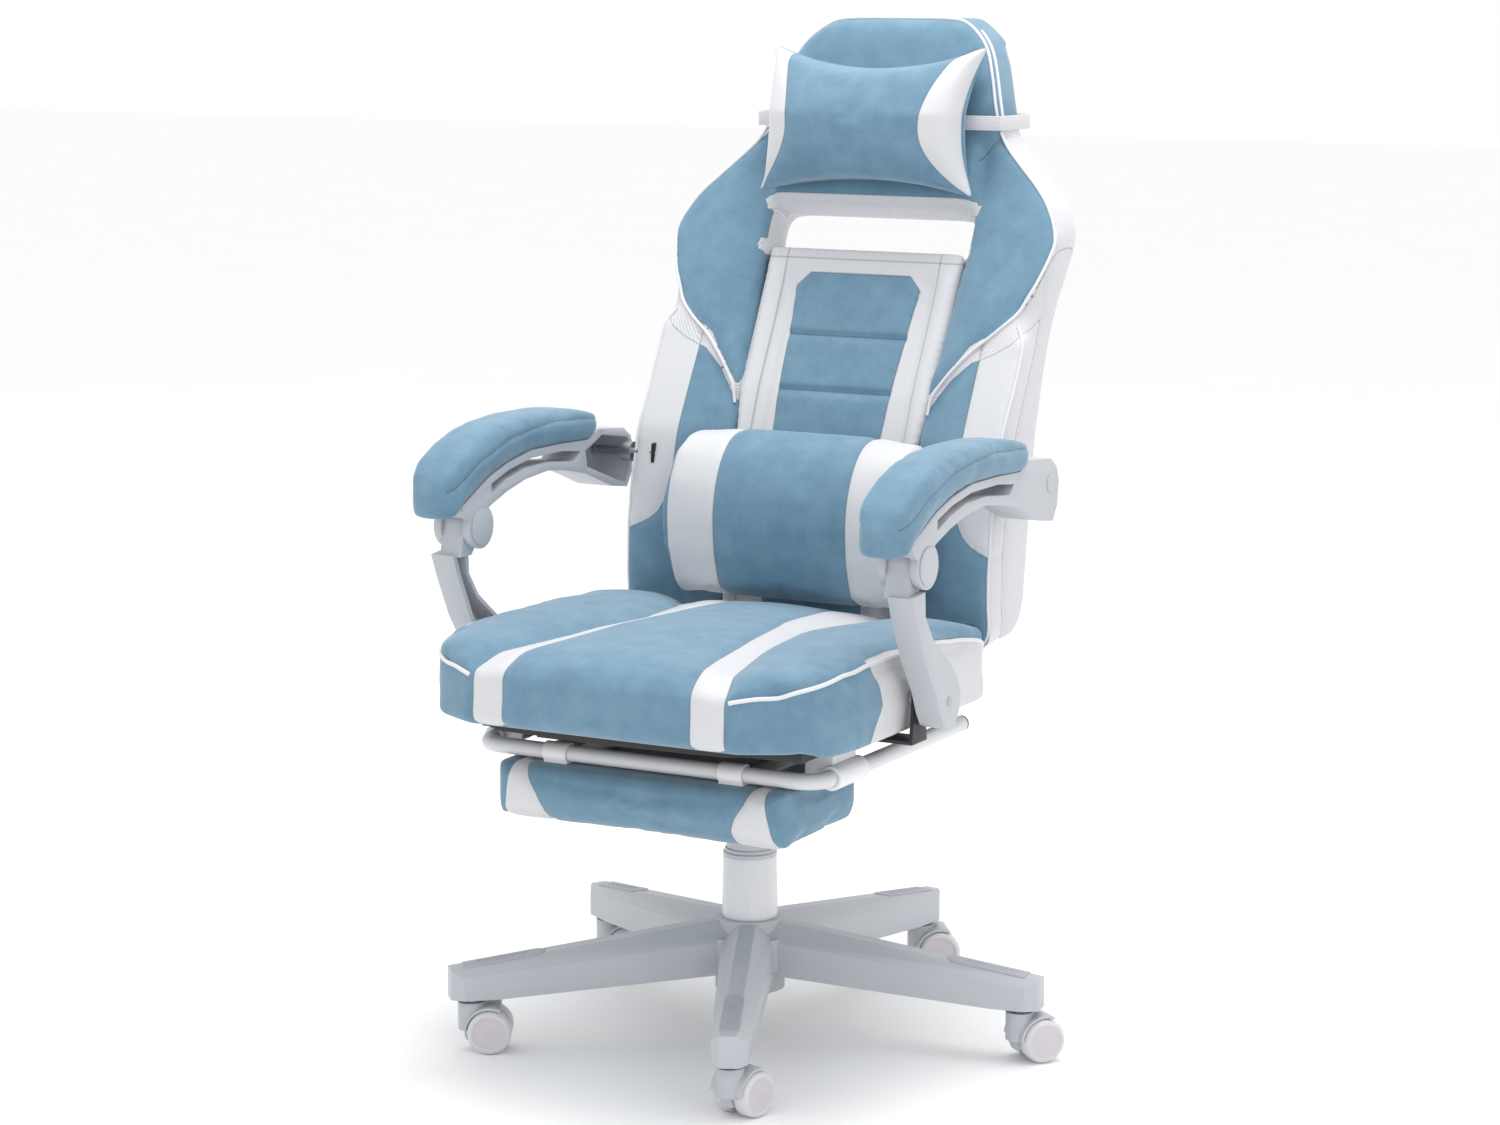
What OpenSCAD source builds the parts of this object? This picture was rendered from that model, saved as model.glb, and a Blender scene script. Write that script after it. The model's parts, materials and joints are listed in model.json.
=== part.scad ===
// Gaming chair with a five-legged caster base, a gas lift, a slide-out footrest, a reclining
// back and armrests that fold along with it. Millimetres. The origin is on the floor under the
// column, +Z is up, the sitter looks along -Y, and +X is the sitter's left.

/* [Base] */
// Radius of the circle that the caster stems stand on
base_r = 325; // [290:5:360]
// Height of the hub's top
hub_top = 136; // [130:1:145]
// Radius of the hub
hub_r = 40; // [36:1:44]
// Half width of a leg at the hub
leg_half_w = 31; // [26:1:33]
// Half width of a leg at its tip
tip_half_w = 20; // [17:1:23]
// Height of the leg's top at its tip
tip_top = 98; // [94:1:104]
// Height of the leg's underside at its tip
tip_bottom = 62; // [61:0.5:66]
// Wall of the moulded legs
leg_wall = 4; // [3:0.5:5]

/* [Casters] */
// Diameter of a caster wheel
wheel_d = 50; // [44:1:52]
// Width of one wheel
wheel_w = 18.5; // [15:0.5:20]
// Distance from the stem's axis back to the axle
trail = 21; // [17:1:23]
// Diameter of the stem in the leg
stem_d = 11; // [10:0.5:12]

/* [Column] */
// Outer diameter of the gas cylinder
cylinder_d = 50; // [48:0.5:50]
// Outer diameter of the pressure tube that rises
tube_d = 28; // [26:0.5:28]
// Outer diameter of the lower cover
cover_d = 64; // [62:0.5:68]
// Height of the lower cover's top edge
cover_top = 208; // [195:1:214]

/* [Seat] */
// Half of the seat's width
seat_half_w = 252; // [235:1:252.5]
// Distance from the column to the seat's front edge
seat_front = 350; // [335:5:375]
// Distance from the column to the seat's rear edge
seat_rear = 116; // [106:2:118]
// Height of the seat cushion's underside
seat_bottom = 404; // [402:1:410]
// Height of the seat cushion's top
seat_top = 482; // [470:1:500]

/* [Back] */
// Half of the back's width across the lower panels
back_half_w = 240; // [228:1:240.5]
// Half of the back's width across the shoulders
shoulder_half_w = 254; // [244:1:262]
// Height of the back's lower edge
back_bottom = 443; // [441:1:450]
// Height of the back's top edge
back_top = 1150; // [1120:5:1180]
// Diameter of the frame tube in the back
frame_tube_d = 20; // [16:1:22]

/* [Armrests] */
// Distance from the middle plane to the middle of an armrest
arm_x = 279; // [279:1:290]
// Width of the arm beam and the link
arm_w = 48; // [44:1:48]
// Width of the arm pad
pad_w = 60; // [54:1:76]
// Wall of the beam and link shells
arm_wall = 4; // [3:0.5:5]

/* [Footrest] */
// Outer diameter of the footrest tube
rest_tube_d = 18; // [16:0.5:22]
// Half of the distance between the middles of the two rails
rest_half_w = 212; // [200:1:216]
// Width of the footrest pad
rest_pad_w = 360; // [300:5:370]
// Depth of the footrest pad
rest_pad_depth = 190; // [160:2:192]
// Thickness of the footrest pad
rest_pad_h = 64; // [50:1:66]

/* [Hidden] */
$fn = 64;

// Clearances: turning fits, sliding fits, and the gap that neighbouring bodies keep
run_gap = 0.04;
slide_gap = 0.3;
body_gap = 0.4;
e = 1;

// Colours
blue = "#86a9c2";
white = "#ececee";
grey = "#b9bcc2";
steel = "#9a9da1";
black = "#26282b";

// Base: five legs, turned so that one points nearly at the sitter's feet
leg_count = 5;
leg_start = -64.88;
function leg_angle(i) = leg_start + i * 360 / leg_count;
hub_bottom = 74;
cylinder_bottom = 48;
leg_end = base_r + 25;
ridge_half_w = 9;
facet_drop = 22;
ridge_start = cylinder_d / 2;
ridge_angle = atan((hub_top - tip_top) / (leg_end - ridge_start));
plate_len = 95;
plate_at = leg_end - ridge_start - plate_len - 14;
plate_w = 22;
plate_h = 1.6;
rib_count = 4;

// Casters: rest directions of the trailing axle, in degrees about +Z
trail_angles = [76.9, 52, 36, 36, 28.9];
wheel_r = wheel_d / 2;
web_half = 7;
wheel_in = web_half + 0.5;
wheel_side_gap = 1.2;
axle_r = 3;
journal_r = 4;
housing_r = 15.5;
housing_top = 57;
ring_top = tip_bottom - 0.5;
hood_wall = 3;
socket_top = tip_top - 8;

// Column
cover_wall = 2.2;
cylinder_top = 200;
inner_cover_wall = 1.4;
inner_cover_r = cylinder_d / 2 + 0.6 + inner_cover_wall;
inner_cover_bottom = hub_top + 3;
inner_cover_top = 328;
rod_r = 5;
tube_bottom = cylinder_bottom + 24;
tube_top = 356;
tube_wall = 2.5;
rod_top = tube_bottom + 90;
button_r = 5;
button_top = 362;

// Mechanism and seat structure
plate_top = 384;
plate_front = -75;
plate_rear = 100;
plate_half_w = 90;
box_half_w = 40;
box_half_d = 32;
frame_bottom = plate_top;
frame_top = 396;
frame_half_w = 200;
frame_front = -250;
frame_rear = 100;
board_inset = 32;
front_corner = [160, 341];
side_start = 218;
strip_x = 115;

// Recline pivot, arm linkage pivots: [distance behind the column, height]
recline_p = [180, 455];
link_p = [-104, 435];
front_p = [-162, 590];
rear_p = [150, 639];
hinge_x = 205;
hinge_t = 4;
open_pivot_gap = 1.8;
bolt_r = 5;

// Lines of the back seen from the side, [distance behind the column, height]
side_front = [
    [131, back_bottom], [125, 500], [127, 550], [136, 610], [152, 670], [178, 720],
    [208, 775], [226, 820]];
wing_front = [
    [188, 703], [207, 765], [239, 840], [269, 900], [302, 960], [321, 1010]];
head_front = [[321, 1010], [335, 1080], [361, 1140], [372, back_top]];
centre_front = [[146, back_bottom], [150, 560], [172, 640], [204, 720], [246, 800], [270, 850]];
rear_line = [
    [208, back_bottom], [230, 480], [243, 568], [256, 664], [282, 753], [300, 798],
    [337, 885], [368, 960], [390, 1030], [412, 1100], [428, back_top]];
shell_depth = 34;
shell_wall = 5;
function moved(line, d) = [for (p = line) [p[0] + d, p[1]]];
function reversed(line) = [for (i = [len(line) - 1:-1:0]) line[i]];
part_line = moved(rear_line, -shell_depth);
frame_line_d = -shell_depth / 2 - 1;

// Extents past the whole back, for the slabs that cut it
near_y = 60;
far_y = 560;
far_x = 300;

// Front outlines of the back, [half width, height]
wing_outline = [
    [124, 703], [176, 780], [224, 820], [246, 860], [shoulder_half_w, 900], [235, 940],
    [192, 980], [160, 1010]];
head_outline = [[160, 1010], [152, 1040], [134, 1100], [118, 1130], [96, back_top]];
window_half_w = 128;
window_y = 280;
window_bottom = 882;
window_top = 940;
window_slope = 0.488;
wing_inner = 134;
neck_z = 1010;
centre_half_w = 121;
pad_gap = 1;

// Armrest lines seen from the side
arm_line = [
    [92, 672], [67, 662], [10, 664], [-55, 664], [-104, 656], [-142, 645], [-175, 630],
    [-200, 618]];
pad_top_line = [
    [-207, 612], [-221, 604], [-234, 605], [-241, 616], [-240, 636], [-230, 655],
    [-208, 671], [-181, 685], [-150, 695], [-112, 702], [-65, 705], [-8, 704], [50, 700],
    [88, 692], [102, 681], [101, 674]];
pad_front = 241;
pad_rear = 102;
beam_under = [
    [-160, 604], [-141, 612], [-108, 623], [-69, 632], [-20, 636], [21, 631], [63, 622],
    [122, 600]];
slot_line = [
    [40, 640], [26, 641], [-20, 646], [-70, 645], [-108, 637], [-140, 625],
    [-140, 636], [-104, 647], [-55, 655], [10, 655], [52, 650]];
pivot_disc_r = 25;
knuckle_half = 14;
knuckle_r = 20;
cap_t = 2;

// Footrest
bar_y = -235;
bar_z = 361;
bar_bend_r = 26;
rail_rear = 112;
rest_tube_wall = 2;
sleeve_len = 66;
sleeve_wall = 4.5;
hanger_x = 110;
hanger_w = 30;
hanger_wall = 4;
rest_pad_top = bar_z - rest_tube_d / 2 - 2.5;
rest_pad_front = bar_y - 28;
rest_pad_rear = rest_pad_front + rest_pad_depth;
rest_pad_corner = 12;

// A side profile [y, z] as a slab between two X values
module side_slab(points, x0, x1)
    translate([x0, 0, 0])
        rotate([90, 0, 90])
            linear_extrude(x1 - x0)
                polygon(points);

// A front outline [x, z] as a slab between two Y values
module front_slab(points, y0, y1)
    translate([0, y1, 0])
        rotate([90, 0, 0])
            linear_extrude(y1 - y0)
                polygon(points);

// A shaft or bore along X at a side-view point
module x_rod(p, r, x0, x1)
    translate([x0, p[0], p[1]])
        rotate([0, 90, 0])
            cylinder(r = r, h = x1 - x0);

// A round bar between two points
module bar(a, b, r) {
    d = b - a;
    len = norm(d);
    translate(a)
        rotate([0, acos(d[2] / len), atan2(d[1], d[0])])
            cylinder(r = r, h = len);
}

module both_sides() {
    children();
    mirror([1, 0, 0]) children();
}

module on_side(s) {
    if (s > 0) children();
    else mirror([1, 0, 0]) children();
}

// ---- Base ----

// One leg along +X: side outline, plan outline and sloping top facets, each drop mm smaller
module leg_body(drop, floor_z) {
    intersection() {
        translate([0, leg_half_w + e, 0])
            rotate([90, 0, 0])
                linear_extrude(2 * (leg_half_w + e))
                    polygon([
                        [0, floor_z + hub_bottom - tip_bottom + 3], [0, hub_top + 20],
                        [leg_end - drop, hub_top + 20], [leg_end - drop, floor_z],
                        [base_r - 30, floor_z]]);
        linear_extrude(hub_top + 20)
            polygon([
                [0, leg_half_w - drop], [leg_end - 14, tip_half_w - drop],
                [leg_end - drop, tip_half_w - 9 - drop],
                [leg_end - drop, -(tip_half_w - 9 - drop)],
                [leg_end - 14, -(tip_half_w - drop)], [0, -(leg_half_w - drop)]]);
        along_ridge(-2 * hub_r, -drop)
            rotate([90, 0, 90])
                linear_extrude(leg_end + 3 * hub_r)
                    polygon([
                        [-ridge_half_w, 0], [ridge_half_w, 0],
                        [leg_half_w + e, -facet_drop], [leg_half_w + e, -hub_top],
                        [-leg_half_w - e, -hub_top], [-leg_half_w - e, -facet_drop]]);
    }
}

// Places its children on the leg's sloping ridge line, at a distance along it
module along_ridge(d, lift)
    translate([ridge_start, 0, hub_top - 0.5 + lift])
        rotate([0, ridge_angle, 0])
            translate([d, 0, 0])
                children();

module leg_ribs()
    for (i = [1:rib_count])
        translate([hub_r + i * (base_r - hub_r - 20) / (rib_count + 1), -leg_half_w, 0])
            cube([2.5, 2 * leg_half_w, hub_top]);

// The hollow under a leg, between the hub and the tip, without its ribs and its socket
module leg_hollow()
    difference() {
        intersection() {
            leg_body(leg_wall, tip_bottom - 3);
            translate([hub_r + 18, -leg_half_w, 0]) cube([leg_end, 2 * leg_half_w, hub_top]);
        }
        leg_ribs();
        translate([base_r, 0, 0])
            cylinder(r = stem_d / 2 + leg_wall, h = hub_top);
    }

module star_base()
    color(grey)
        difference() {
            union() {
                for (i = [0:leg_count - 1])
                    rotate([0, 0, leg_angle(i)]) leg_body(0, tip_bottom);
                translate([0, 0, cylinder_bottom + 4])
                    cylinder(r = hub_r, h = hub_top - cylinder_bottom - 4);
                // Web that fills the valleys between the legs
                translate([0, 0, hub_bottom + 6])
                    cylinder(r = hub_r + 14, h = hub_top - facet_drop - hub_bottom - 3);
            }
            cylinder(r = cylinder_d / 2 + run_gap, h = hub_top + 20);
            for (i = [0:leg_count - 1])
                rotate([0, 0, leg_angle(i)]) {
                    leg_hollow();
                    translate([base_r, 0, 0])
                        cylinder(r = stem_d / 2, h = socket_top);
                    plate_blank(plate_h);
                }
        }

// A tread plate lies flush in the sloping top of the leg's outer end, round at its inner end
module plate_blank(h)
    along_ridge(plate_at, 0)
        translate([0, 0, -h])
            linear_extrude(h + 4)
                union() {
                    translate([plate_w / 2, -plate_w / 2])
                        square([plate_len - plate_w / 2, plate_w]);
                    translate([plate_w / 2, 0]) circle(r = plate_w / 2);
                }

module tread_plates()
    color(grey)
        for (i = [0:leg_count - 1])
            rotate([0, 0, leg_angle(i)])
                along_ridge(plate_at, -plate_h) tread_plate();

module tread_plate()
    difference() {
        linear_extrude(plate_h + 0.6)
            union() {
                translate([plate_w / 2, -plate_w / 2 + 0.2])
                    square([plate_len - plate_w / 2 - 0.2, plate_w - 0.4]);
                translate([plate_w / 2, 0]) circle(r = plate_w / 2 - 0.2);
            }
        for (i = [0:9])
            translate([24 + i * 6, 0, plate_h])
                rotate([0, 0, 60])
                    translate([-6, -1.2, 0]) cube([12, 2.4, e]);
    }

module caster_stems()
    color(steel)
        for (i = [0:leg_count - 1])
            rotate([0, 0, leg_angle(i)])
                translate([base_r, 0, 0]) {
                    translate([0, 0, housing_top - 22])
                        cylinder(r = journal_r, h = ring_top - housing_top + 22);
                    translate([0, 0, housing_top + body_gap])
                        cylinder(r = 9, h = ring_top - housing_top - body_gap);
                    translate([0, 0, ring_top - e])
                        cylinder(r = stem_d / 2, h = socket_top - ring_top + e);
                }

// ---- Casters: the stem's axis is the local Z axis and the axle trails along local +X ----

module at_caster(i)
    rotate([0, 0, leg_angle(i)])
        translate([base_r, 0, 0])
            rotate([0, 0, trail_angles[i] - leg_angle(i)])
                children();

module along_axle(y0, y1, r)
    translate([trail, y1, wheel_r])
        rotate([90, 0, 0])
            cylinder(r = r, h = y1 - y0);

module caster_hood(i)
    color(grey)
        at_caster(i) {
            difference() {
                union() {
                    hood_outside();
                    along_axle(-web_half, web_half, wheel_r - 6);
                }
                translate([0, 0, housing_top - 22 - body_gap])
                    cylinder(r = journal_r + run_gap, h = 30);
                along_axle(web_half, web_half + 30, wheel_r + wheel_side_gap);
                along_axle(-web_half - 30, -web_half, wheel_r + wheel_side_gap);
                along_axle(-web_half - e, web_half + e, axle_r);
            }
            along_axle(-wheel_in - wheel_w + 3, wheel_in + wheel_w - 3, axle_r);
        }

// The hood's outside: a fender over both wheels, and the round housing of the stem
module hood_outside() {
    intersection() {
        along_axle(-web_half - 15, web_half + 15, wheel_r + wheel_side_gap + hood_wall);
        translate([trail - 40, -30, wheel_r + 3]) cube([52, 60, 60]);
    }
    intersection() {
        along_axle(-web_half, web_half, wheel_r + wheel_side_gap + hood_wall);
        translate([trail - 40, -30, wheel_r - 12]) cube([52, 60, 60]);
    }
    translate([0, 0, wheel_r])
        cylinder(r = housing_r, h = housing_top - wheel_r);
}

// A wheel: a rounded tyre ring with a dished disc in its outer face
module wheel_shape(s)
    color(white)
        translate([trail, 0, wheel_r])
            rotate([90, 0, 0])
                mirror([0, 0, s > 0 ? 1 : 0])
                    translate([0, 0, wheel_in])
                        rotate_extrude()
                            polygon([
                                [axle_r + run_gap, 0], [wheel_r - 1, 0], [wheel_r, 1.5],
                                [wheel_r, wheel_w - 5], [wheel_r - 1.5, wheel_w - 1.8],
                                [wheel_r - 4, wheel_w], [wheel_r - 6.2, wheel_w],
                                [wheel_r - 6.8, wheel_w - 1.2], [8, wheel_w - 0.6],
                                [0, wheel_w - 0.4], [0, wheel_w - 2.6],
                                [axle_r + run_gap, wheel_w - 2.6]]);

module wheel(i, s) at_caster(i) wheel_shape(s);

// ---- Column ----

module gas_cylinder()
    color(black)
        translate([0, 0, cylinder_bottom])
            difference() {
                cylinder(r = cylinder_d / 2, h = cylinder_top - cylinder_bottom);
                translate([0, 0, 4])
                    cylinder(r = cylinder_d / 2 - 1.8, h = cylinder_top);
                translate([0, 0, -e]) cylinder(r = rod_r + run_gap, h = 10);
            }

module guide_bush()
    color(white)
        translate([0, 0, cylinder_bottom + 60])
            difference() {
                cylinder(r = cylinder_d / 2 - 1.8, h = cylinder_top - cylinder_bottom - 60);
                translate([0, 0, -e])
                    cylinder(r = tube_d / 2 + run_gap, h = cylinder_top);
            }

module thrust_bearing()
    color(steel)
        translate([0, 0, cylinder_bottom + 4])
            difference() {
                cylinder(r = 12, h = 5);
                translate([0, 0, -e]) cylinder(r = rod_r + run_gap, h = 10);
            }

module piston_rod()
    color(steel) {
        translate([0, 0, cylinder_bottom - 3])
            cylinder(r = rod_r, h = rod_top - cylinder_bottom + 3);
        translate([0, 0, cylinder_bottom - 5]) cylinder(r = 9, h = 4);
        translate([0, 0, cylinder_bottom + 9 + run_gap]) cylinder(r = 9, h = 3);
        translate([0, 0, rod_top - 10])
            cylinder(r = tube_d / 2 - tube_wall - run_gap, h = 10);
    }

module lower_cover()
    color(white)
        translate([0, 0, hub_top])
            difference() {
                cylinder(r1 = cover_d / 2, r2 = cover_d / 2 - 1, h = cover_top - hub_top);
                translate([0, 0, -e])
                    cylinder(r = cover_d / 2 - 1 - cover_wall, h = cover_top);
            }

module cover_collar()
    color(grey)
        translate([0, 0, cover_top])
            difference() {
                rotate_extrude()
                    polygon([
                        [0, 0], [cover_d / 2 - 1, 0], [cover_d / 2 - 1, 4],
                        [cover_d / 2 - 3, 4.6], [cover_d / 2 - 3.2, 8.5], [0, 8.5]]);
                translate([0, 0, -e])
                    cylinder(r = inner_cover_r + slide_gap, h = 20);
            }

module pressure_tube()
    color(steel)
        difference() {
            translate([0, 0, tube_bottom]) cylinder(r = tube_d / 2, h = tube_top - tube_bottom);
            translate([0, 0, tube_bottom + 8])
                cylinder(r = tube_d / 2 - tube_wall, h = rod_top + 30 - tube_bottom);
            translate([0, 0, tube_bottom - e]) cylinder(r = rod_r + run_gap, h = 20);
            translate([0, 0, tube_top - 24]) cylinder(r = button_r + run_gap, h = 30);
        }

module upper_cover()
    color(grey)
        translate([0, 0, inner_cover_bottom])
            difference() {
                cylinder(r = inner_cover_r, h = inner_cover_top - inner_cover_bottom);
                translate([0, 0, -e])
                    cylinder(
                        r = inner_cover_r - inner_cover_wall,
                        h = inner_cover_top - inner_cover_bottom - 2);
                cylinder(r = tube_d / 2 + run_gap, h = inner_cover_top);
            }

// ---- Mechanism ----

module mechanism_plate()
    color(black)
        difference() {
            union() {
                translate([-plate_half_w, plate_front, plate_top - 4])
                    cube([2 * plate_half_w, plate_rear - plate_front, 4]);
                translate([0, 0, inner_cover_top + slide_gap])
                    cylinder(r = 22, h = tube_top - 4 - inner_cover_top - slide_gap);
                difference() {
                    translate([-box_half_w, -box_half_d, tube_top - 12])
                        cube([2 * box_half_w, 2 * box_half_d, plate_top - tube_top + 12]);
                    translate([3 - box_half_w, 3 - box_half_d, tube_top - 8])
                        cube([2 * box_half_w - 6, 2 * box_half_d - 6, plate_top - tube_top + 12]);
                }
            }
            translate([0, 0, inner_cover_top]) cylinder(r = tube_d / 2, h = tube_top);
            lever_path(8);
            lever_pin(3 + run_gap, 100);
        }

module release_button()
    color(white)
        translate([0, 0, tube_top - 16]) cylinder(r = button_r, h = button_top - tube_top + 16);

// The lever turns on a pin along Y, presses the button inside and has its paddle outside
lever_pivot = [-28, 0, 367];
lever_out = [-150, 0, 335];
lever_grip = [-262, -24, 328];

module lever_pin(r, len)
    translate(lever_pivot)
        rotate([90, 0, 0])
            cylinder(r = r, h = len, center = true);

module lever_path(grow)
    translate([lever_pivot[0] - 22, -9 - grow / 2, lever_pivot[2] - 10 - grow / 2])
        cube([20, 18 + grow, 22 + grow]);

module height_lever()
    color(black) {
        difference() {
            union() {
                translate([lever_pivot[0] - 6, -7, button_top + 0.05])
                    cube([6 - lever_pivot[0], 14, 4.2]);
                bar(lever_pivot + [-3, 0, -1], lever_out, 4);
                bar(lever_out, lever_grip + [42, 0, 0], 4);
                translate(lever_out) sphere(r = 4.6);
                translate(lever_grip - [0, 16, 4]) cube([46, 26, 8]);
            }
            lever_pin(3, 40);
        }
        lever_pin(3, 2 * box_half_d + 2);
    }

// ---- Seat ----

module seat_frame()
    color(black)
        difference() {
            union() {
                both_sides() {
                    translate([frame_half_w - 24, frame_front, frame_bottom])
                        cube([24, frame_rear - frame_front, frame_top - frame_bottom]);
                    // Flat arm that carries the armrest link
                    translate([frame_half_w - e, link_p[0] - 18, frame_bottom + 2])
                        cube([arm_x - 13 - frame_half_w + e, 36, hinge_t]);
                    arm_tab();
                    hinge_plate();
                }
                translate([-176, lever_shaft[0] - 9, lever_shaft[1] - 9])
                    cube([10, 18, frame_bottom - lever_shaft[1] + 10]);
                for (y = [frame_front, -90, 10, frame_rear - 24])
                    translate([-frame_half_w, y, frame_bottom])
                        cube([2 * frame_half_w, 24, frame_top - frame_bottom]);
            }
            both_sides() {
                x_rod(recline_p, bolt_r + run_gap, hinge_x - e, hinge_x + hinge_t + e);
                x_rod(link_p, bolt_r, frame_half_w, arm_x);
            }
            x_rod(lever_shaft, 4 + run_gap, -180, -160);
        }

// Upright tab beside the link's open inner side
module arm_tab()
    side_slab(
        [
            [link_p[0] - 18, frame_bottom + 2], [link_p[0] + 18, frame_bottom + 2],
            [link_p[0] + 12, link_p[1] + 8], [link_p[0] + 6, link_p[1] + 12],
            [link_p[0] - 6, link_p[1] + 12], [link_p[0] - 12, link_p[1] + 8]],
        arm_x - 13 - hinge_t, arm_x - 13);

// Plate that rises behind the seat to the recline pivot
module hinge_plate() {
    side_slab(
        [
            [frame_rear - 40, frame_bottom], [frame_rear + 20, frame_bottom],
            [recline_p[0] + 11, recline_p[1] - 8], [recline_p[0] - 11, recline_p[1] + 8],
            [frame_rear + 4, frame_top], [frame_rear - 40, frame_top]],
        hinge_x, hinge_x + hinge_t);
    x_rod(recline_p, 14, hinge_x, hinge_x + hinge_t);
    translate([frame_half_w - e, frame_rear - 40, frame_bottom])
        cube([hinge_x - frame_half_w + e + 1, 40, frame_top - frame_bottom]);
}

// Plan outline of the seat, [x, y] for the sitter's left half
function seat_plan(inset) = [
    [0, -seat_front + inset], [front_corner[0] - inset / 2, -front_corner[1] + inset],
    [seat_half_w - 32 - inset, -front_corner[1] + 34 + inset],
    [seat_half_w - 8 - inset, -side_start - 42 + inset / 2],
    [seat_half_w - inset, -side_start], [seat_half_w - inset, seat_rear - 26 - inset / 2],
    [seat_half_w - 22 - inset, seat_rear - inset], [0, seat_rear - inset]];

// The seat's side outline cuts the plan block to its crowned top and leaning front
module seat_block(x0, x1)
    side_slab(
        [
            [-seat_front + 20, seat_bottom], [-seat_front, seat_bottom + 14],
            [-seat_front, seat_top - 26], [-seat_front + 14, seat_top - 10],
            [-seat_front + 48, seat_top + 2], [-150, seat_top + 8], [-40, seat_top + 6],
            [60, seat_top], [seat_rear - 14, seat_top - 8], [seat_rear, seat_top - 30],
            [seat_rear, seat_bottom + 14], [seat_rear - 16, seat_bottom]],
        x0, x1);

module seat_half(x0, x1)
    intersection() {
        translate([0, 0, seat_bottom - e])
            linear_extrude(seat_top - seat_bottom + 40)
                polygon(seat_plan(0));
        seat_block(x0, x1);
    }

module seat_cushion()
    color(blue)
        both_sides() seat_half(0, strip_x);

module seat_bolsters()
    color(blue)
        both_sides() seat_half(strip_x + pad_gap, seat_half_w + e);

module seat_board()
    color("#3a3c40")
        translate([0, 0, frame_top])
            linear_extrude(seat_bottom - frame_top)
                union() {
                    polygon(seat_plan(board_inset));
                    mirror([1, 0]) polygon(seat_plan(board_inset));
                }

// Sleeves that the footrest rails slide in, hung from the seat frame
sleeve_front = bar_y + bar_bend_r + 1;
module rail_sleeves()
    color(white)
        both_sides()
            difference() {
                union() {
                    translate([rest_half_w, sleeve_front, bar_z])
                        rotate([-90, 0, 0])
                            cylinder(r = rest_tube_d / 2 + sleeve_wall, h = sleeve_len);
                    translate([rest_half_w - 34, sleeve_front + 6, bar_z])
                        cube([34, sleeve_len - 12, frame_bottom - bar_z]);
                }
                translate([rest_half_w, sleeve_front - e, bar_z])
                    rotate([-90, 0, 0])
                        cylinder(r = rest_tube_d / 2 + run_gap, h = sleeve_len + 2 * e);
            }

module recline_bolts()
    color(steel)
        both_sides() {
            x_rod(recline_p, bolt_r, hinge_x - 6, hinge_x + hinge_t + 8);
            x_rod(recline_p, 9, hinge_x - 9, hinge_x - body_gap);
        }

module link_bolts()
    color(steel)
        both_sides() {
            x_rod(link_p, bolt_r, arm_x - 13 - hinge_t - 5, arm_x + arm_w / 2 - 1.5);
            x_rod(link_p, 9, arm_x - 13 - hinge_t - 6, arm_x - 13 - hinge_t);
        }

// Recline lever: a cross shaft under the seat and a handle along the seat's right side
lever_shaft = [76, 379];
module recline_lever()
    color(black) {
        x_rod(lever_shaft, 4, -262, -150);
        side_slab(
            [
                [lever_shaft[0] + 8, lever_shaft[1] - 7], [lever_shaft[0] + 8, lever_shaft[1] + 7],
                [lever_shaft[0] - 40, lever_shaft[1] + 24], [lever_shaft[0] - 84, lever_shaft[1] + 28],
                [lever_shaft[0] - 84, lever_shaft[1] + 14], [lever_shaft[0] - 40, lever_shaft[1] + 8]],
            -268, -258);
    }

// ---- Back ----

// Slab of the back between two side lines
module back_slab(front, rear, x0, x1)
    side_slab(concat(front, reversed(rear)), x0, x1);

side_outline = [
    [centre_half_w, back_bottom], [back_half_w - 14, back_bottom],
    [back_half_w, back_bottom + 16], [back_half_w, 640], [back_half_w, 790],
    [back_half_w - 18, 818], [176 + 3, 777], [124, 700], [centre_half_w, 700]];

// Pocket for the seat's hinge plate and the back's own hinge cheek
module hinge_pocket()
    side_slab(
        [
            [100, back_bottom - 40], [recline_p[0] + 18, back_bottom - 40],
            [recline_p[0] + 18, recline_p[1] + 22],
            [recline_p[0] - 24, recline_p[1] + 24], [100, recline_p[1] + 6]],
        hinge_x - 12, hinge_x + hinge_t + 12);

module back_side_pads()
    color(white)
        both_sides()
            difference() {
                intersection() {
                    front_slab(side_outline, near_y, far_y);
                    back_slab(
                        concat(side_front, [[226 + 40, 900]]), moved(rear_trimmed(), 0),
                        centre_half_w, back_half_w + e);
                }
                hinge_pocket();
                hinge_cheek(slide_gap);
                x_rod(rear_p, bolt_r + slide_gap, hinge_x, back_half_w + e);
            }

wing_inside = [[wing_inner, 1010], [wing_inner, 880], [centre_half_w + 1, 705]];
function rear_trimmed() = [for (p = part_line) if (p[1] < 950) [p[0] - pad_gap, p[1]]];

module wing_pads()
    color(blue)
        both_sides()
            difference() {
                intersection() {
                    front_slab(concat(wing_outline, wing_inside), near_y, far_y);
                    back_slab(
                        concat(wing_front, [[321, 1011]]),
                        [for (p = part_line) if (p[1] > 660 && p[1] < 1090) [p[0] - pad_gap, p[1]]],
                        centre_half_w, shoulder_half_w + e);
                    translate([0, 0, back_bottom]) cube([far_x, far_y, neck_z - back_bottom - pad_gap]);
                }
            }

module back_centre_pad()
    color(blue)
        intersection() {
            back_slab(
                concat(centre_front, [[290, 900]]), rear_trimmed(),
                -centre_half_w + pad_gap, centre_half_w - pad_gap);
            side_slab(
                [
                    [0, 0], [600, 0], window_line(window_bottom, 600),
                    window_line(window_bottom, 0)],
                -centre_half_w, centre_half_w);
        }

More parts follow.
